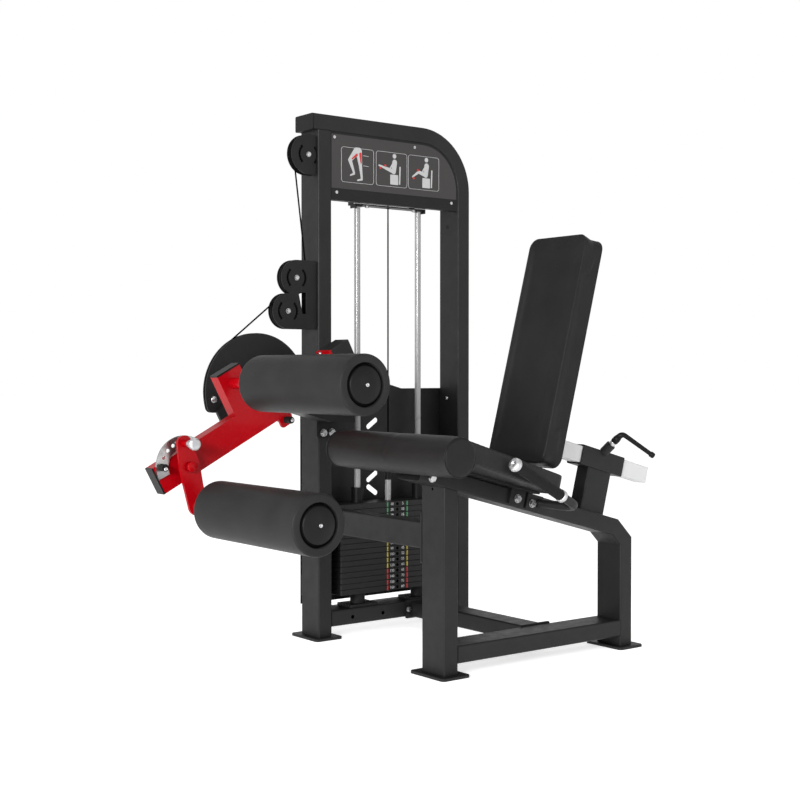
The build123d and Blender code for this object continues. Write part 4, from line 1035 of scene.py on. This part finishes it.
def stack_labels():
    """Colour bars and numbers down the stack's front, those on lifted plates riding with them."""
    front = (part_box("top_plate")[0].y - CORNER.y) / MM
    groups = (("carriage", range(0, LIFTED_ROWS)), ("frame", range(LIFTED_ROWS, STACK_ROWS)))
    inks = {"green": INK_GREEN, "yellow": INK_YELLOW, "red": INK_RED}
    for body, rows in groups:
        bars = {colour: bmesh.new() for colour in inks}
        numbers = bmesh.new()
        for row in rows:
            base = ROW_BASE + (STACK_ROWS - 1 - row) * ROW_PITCH
            colour = "green" if row < 4 else "yellow" if row < 12 else "red"
            for x in (STACK_MIDDLE - BAR_OFFSET, STACK_MIDDLE + BAR_OFFSET):
                left, right = x - BAR_HALF, x + BAR_HALF
                low, high = base + BAR_LEVELS[0], base + BAR_LEVELS[1]
                outline = [(left, low), (right, low), (right, high), (left, high)]
                flat_shape(bars[colour], outline, front - 0.02, 0.3)
            for side, step in ((-1, 10), (1, 5)):
                x = STACK_MIDDLE + side * NUMBER_OFFSET
                data = row_number(str((row + 1) * step), x, base + ROW_THICK / 2)
                numbers.from_mesh(data)
                bpy.data.meshes.remove(data)
        for colour, mesh in bars.items():
            if mesh.faces:
                name = f"stack_{colour}_bars_{body}"
                make_piece(name, mesh, inks[colour], body, False)
            else:
                mesh.free()
        make_piece(f"stack_numbers_{body}", numbers, INK_WHITE, body, False)


# ---------------------------------------------------------------- stage


def sky(world):
    """White all round at eye height, dimmer overhead."""
    world.use_nodes = True
    nodes = world.node_tree.nodes
    links = world.node_tree.links
    coords = nodes.new("ShaderNodeTexCoord")
    parts = nodes.new("ShaderNodeSeparateXYZ")
    ramp = nodes.new("ShaderNodeValToRGB")
    ramp.color_ramp.elements[0].position = 0.32
    ramp.color_ramp.elements[0].color = (1, 1, 1, 1)
    ramp.color_ramp.elements[1].position = 0.75
    ramp.color_ramp.elements[1].color = (0.3, 0.3, 0.3, 1)
    links.new(coords.outputs["Generated"], parts.inputs["Vector"])
    links.new(parts.outputs["Z"], ramp.inputs["Fac"])
    links.new(ramp.outputs["Color"], nodes["Background"].inputs["Color"])
    nodes["Background"].inputs["Strength"].default_value = 1.0


def floor_material():
    """Matt white sheet, lit from below like a photographer's light table."""
    mat = new_material("floor")[0]
    shader = mat.node_tree.nodes["Principled BSDF"]
    shader.inputs["Base Color"].default_value = (0.9, 0.9, 0.9, 1)
    shader.inputs["Roughness"].default_value = 0.9
    shader.inputs["Specular IOR Level"].default_value = 0.0
    shader.inputs["Emission Color"].default_value = (1, 1, 1, 1)
    shader.inputs["Emission Strength"].default_value = 0.62
    return mat


def studio():
    """White floor, pale surroundings and soft lights."""
    bpy.ops.mesh.primitive_plane_add(size=80, location=(0, 0, -0.0005))
    floor = bpy.context.object
    floor.name = "floor"
    floor.data.materials.append(floor_material())
    world = bpy.data.worlds.new("studio")
    sky(world)
    scene.world = world
    lamps = (
        ("key", (-4.4, -2.3, 1.6), (2.2, 0.8), 260),
        ("fill", (1.4, -4.6, 1.4), (2.0, 2.0), 20),
        ("top", (0.2, -0.4, 4.2), (2.4, 2.4), 30),
    )
    aim = (cad_low + cad_high) / 2
    for name, place, size, power in lamps:
        light = bpy.data.lights.new(name, "AREA")
        light.shape = "RECTANGLE"
        light.size, light.size_y = size
        light.energy = power
        lamp = bpy.data.objects.new(name, light)
        lamp.location = place
        lamp.rotation_euler = (aim - Vector(place)).to_track_quat("-Z", "Y").to_euler()
        scene.collection.objects.link(lamp)


def camera():
    """Camera at eye height, a little in front of the machine's seat side."""
    data = bpy.data.cameras.new("camera")
    data.sensor_width = 36.0
    data.lens = 61.14
    lens = bpy.data.objects.new("camera", data)
    scene.collection.objects.link(lens)
    lens.location = spot(-2343.0, -2861.0, 842.5)
    look = Vector((0.6078, 0.79381, -0.02121))
    lens.rotation_euler = look.to_track_quat("-Z", "Y").to_euler()
    scene.camera = lens


camera()
studio()
dress_cad_nodes()
seat_cushion()
seat_welts()
back_cushion()
back_welts()
for roller_node, roller_body in (("thigh_roller", "thigh_roller"), ("ankle_roller", "ankle_roller")):
    roller_foam(roller_node, roller_body)
    roller_ends(roller_node, roller_body)
handle_fittings()
clamp_handle()
cable_lead()
stack_cable()
cam_anchor()
lever_bolts()
tower_details()
shroud_bolt()
sign_overlay()
sign_frames()
sign_figures()
stack_labels()
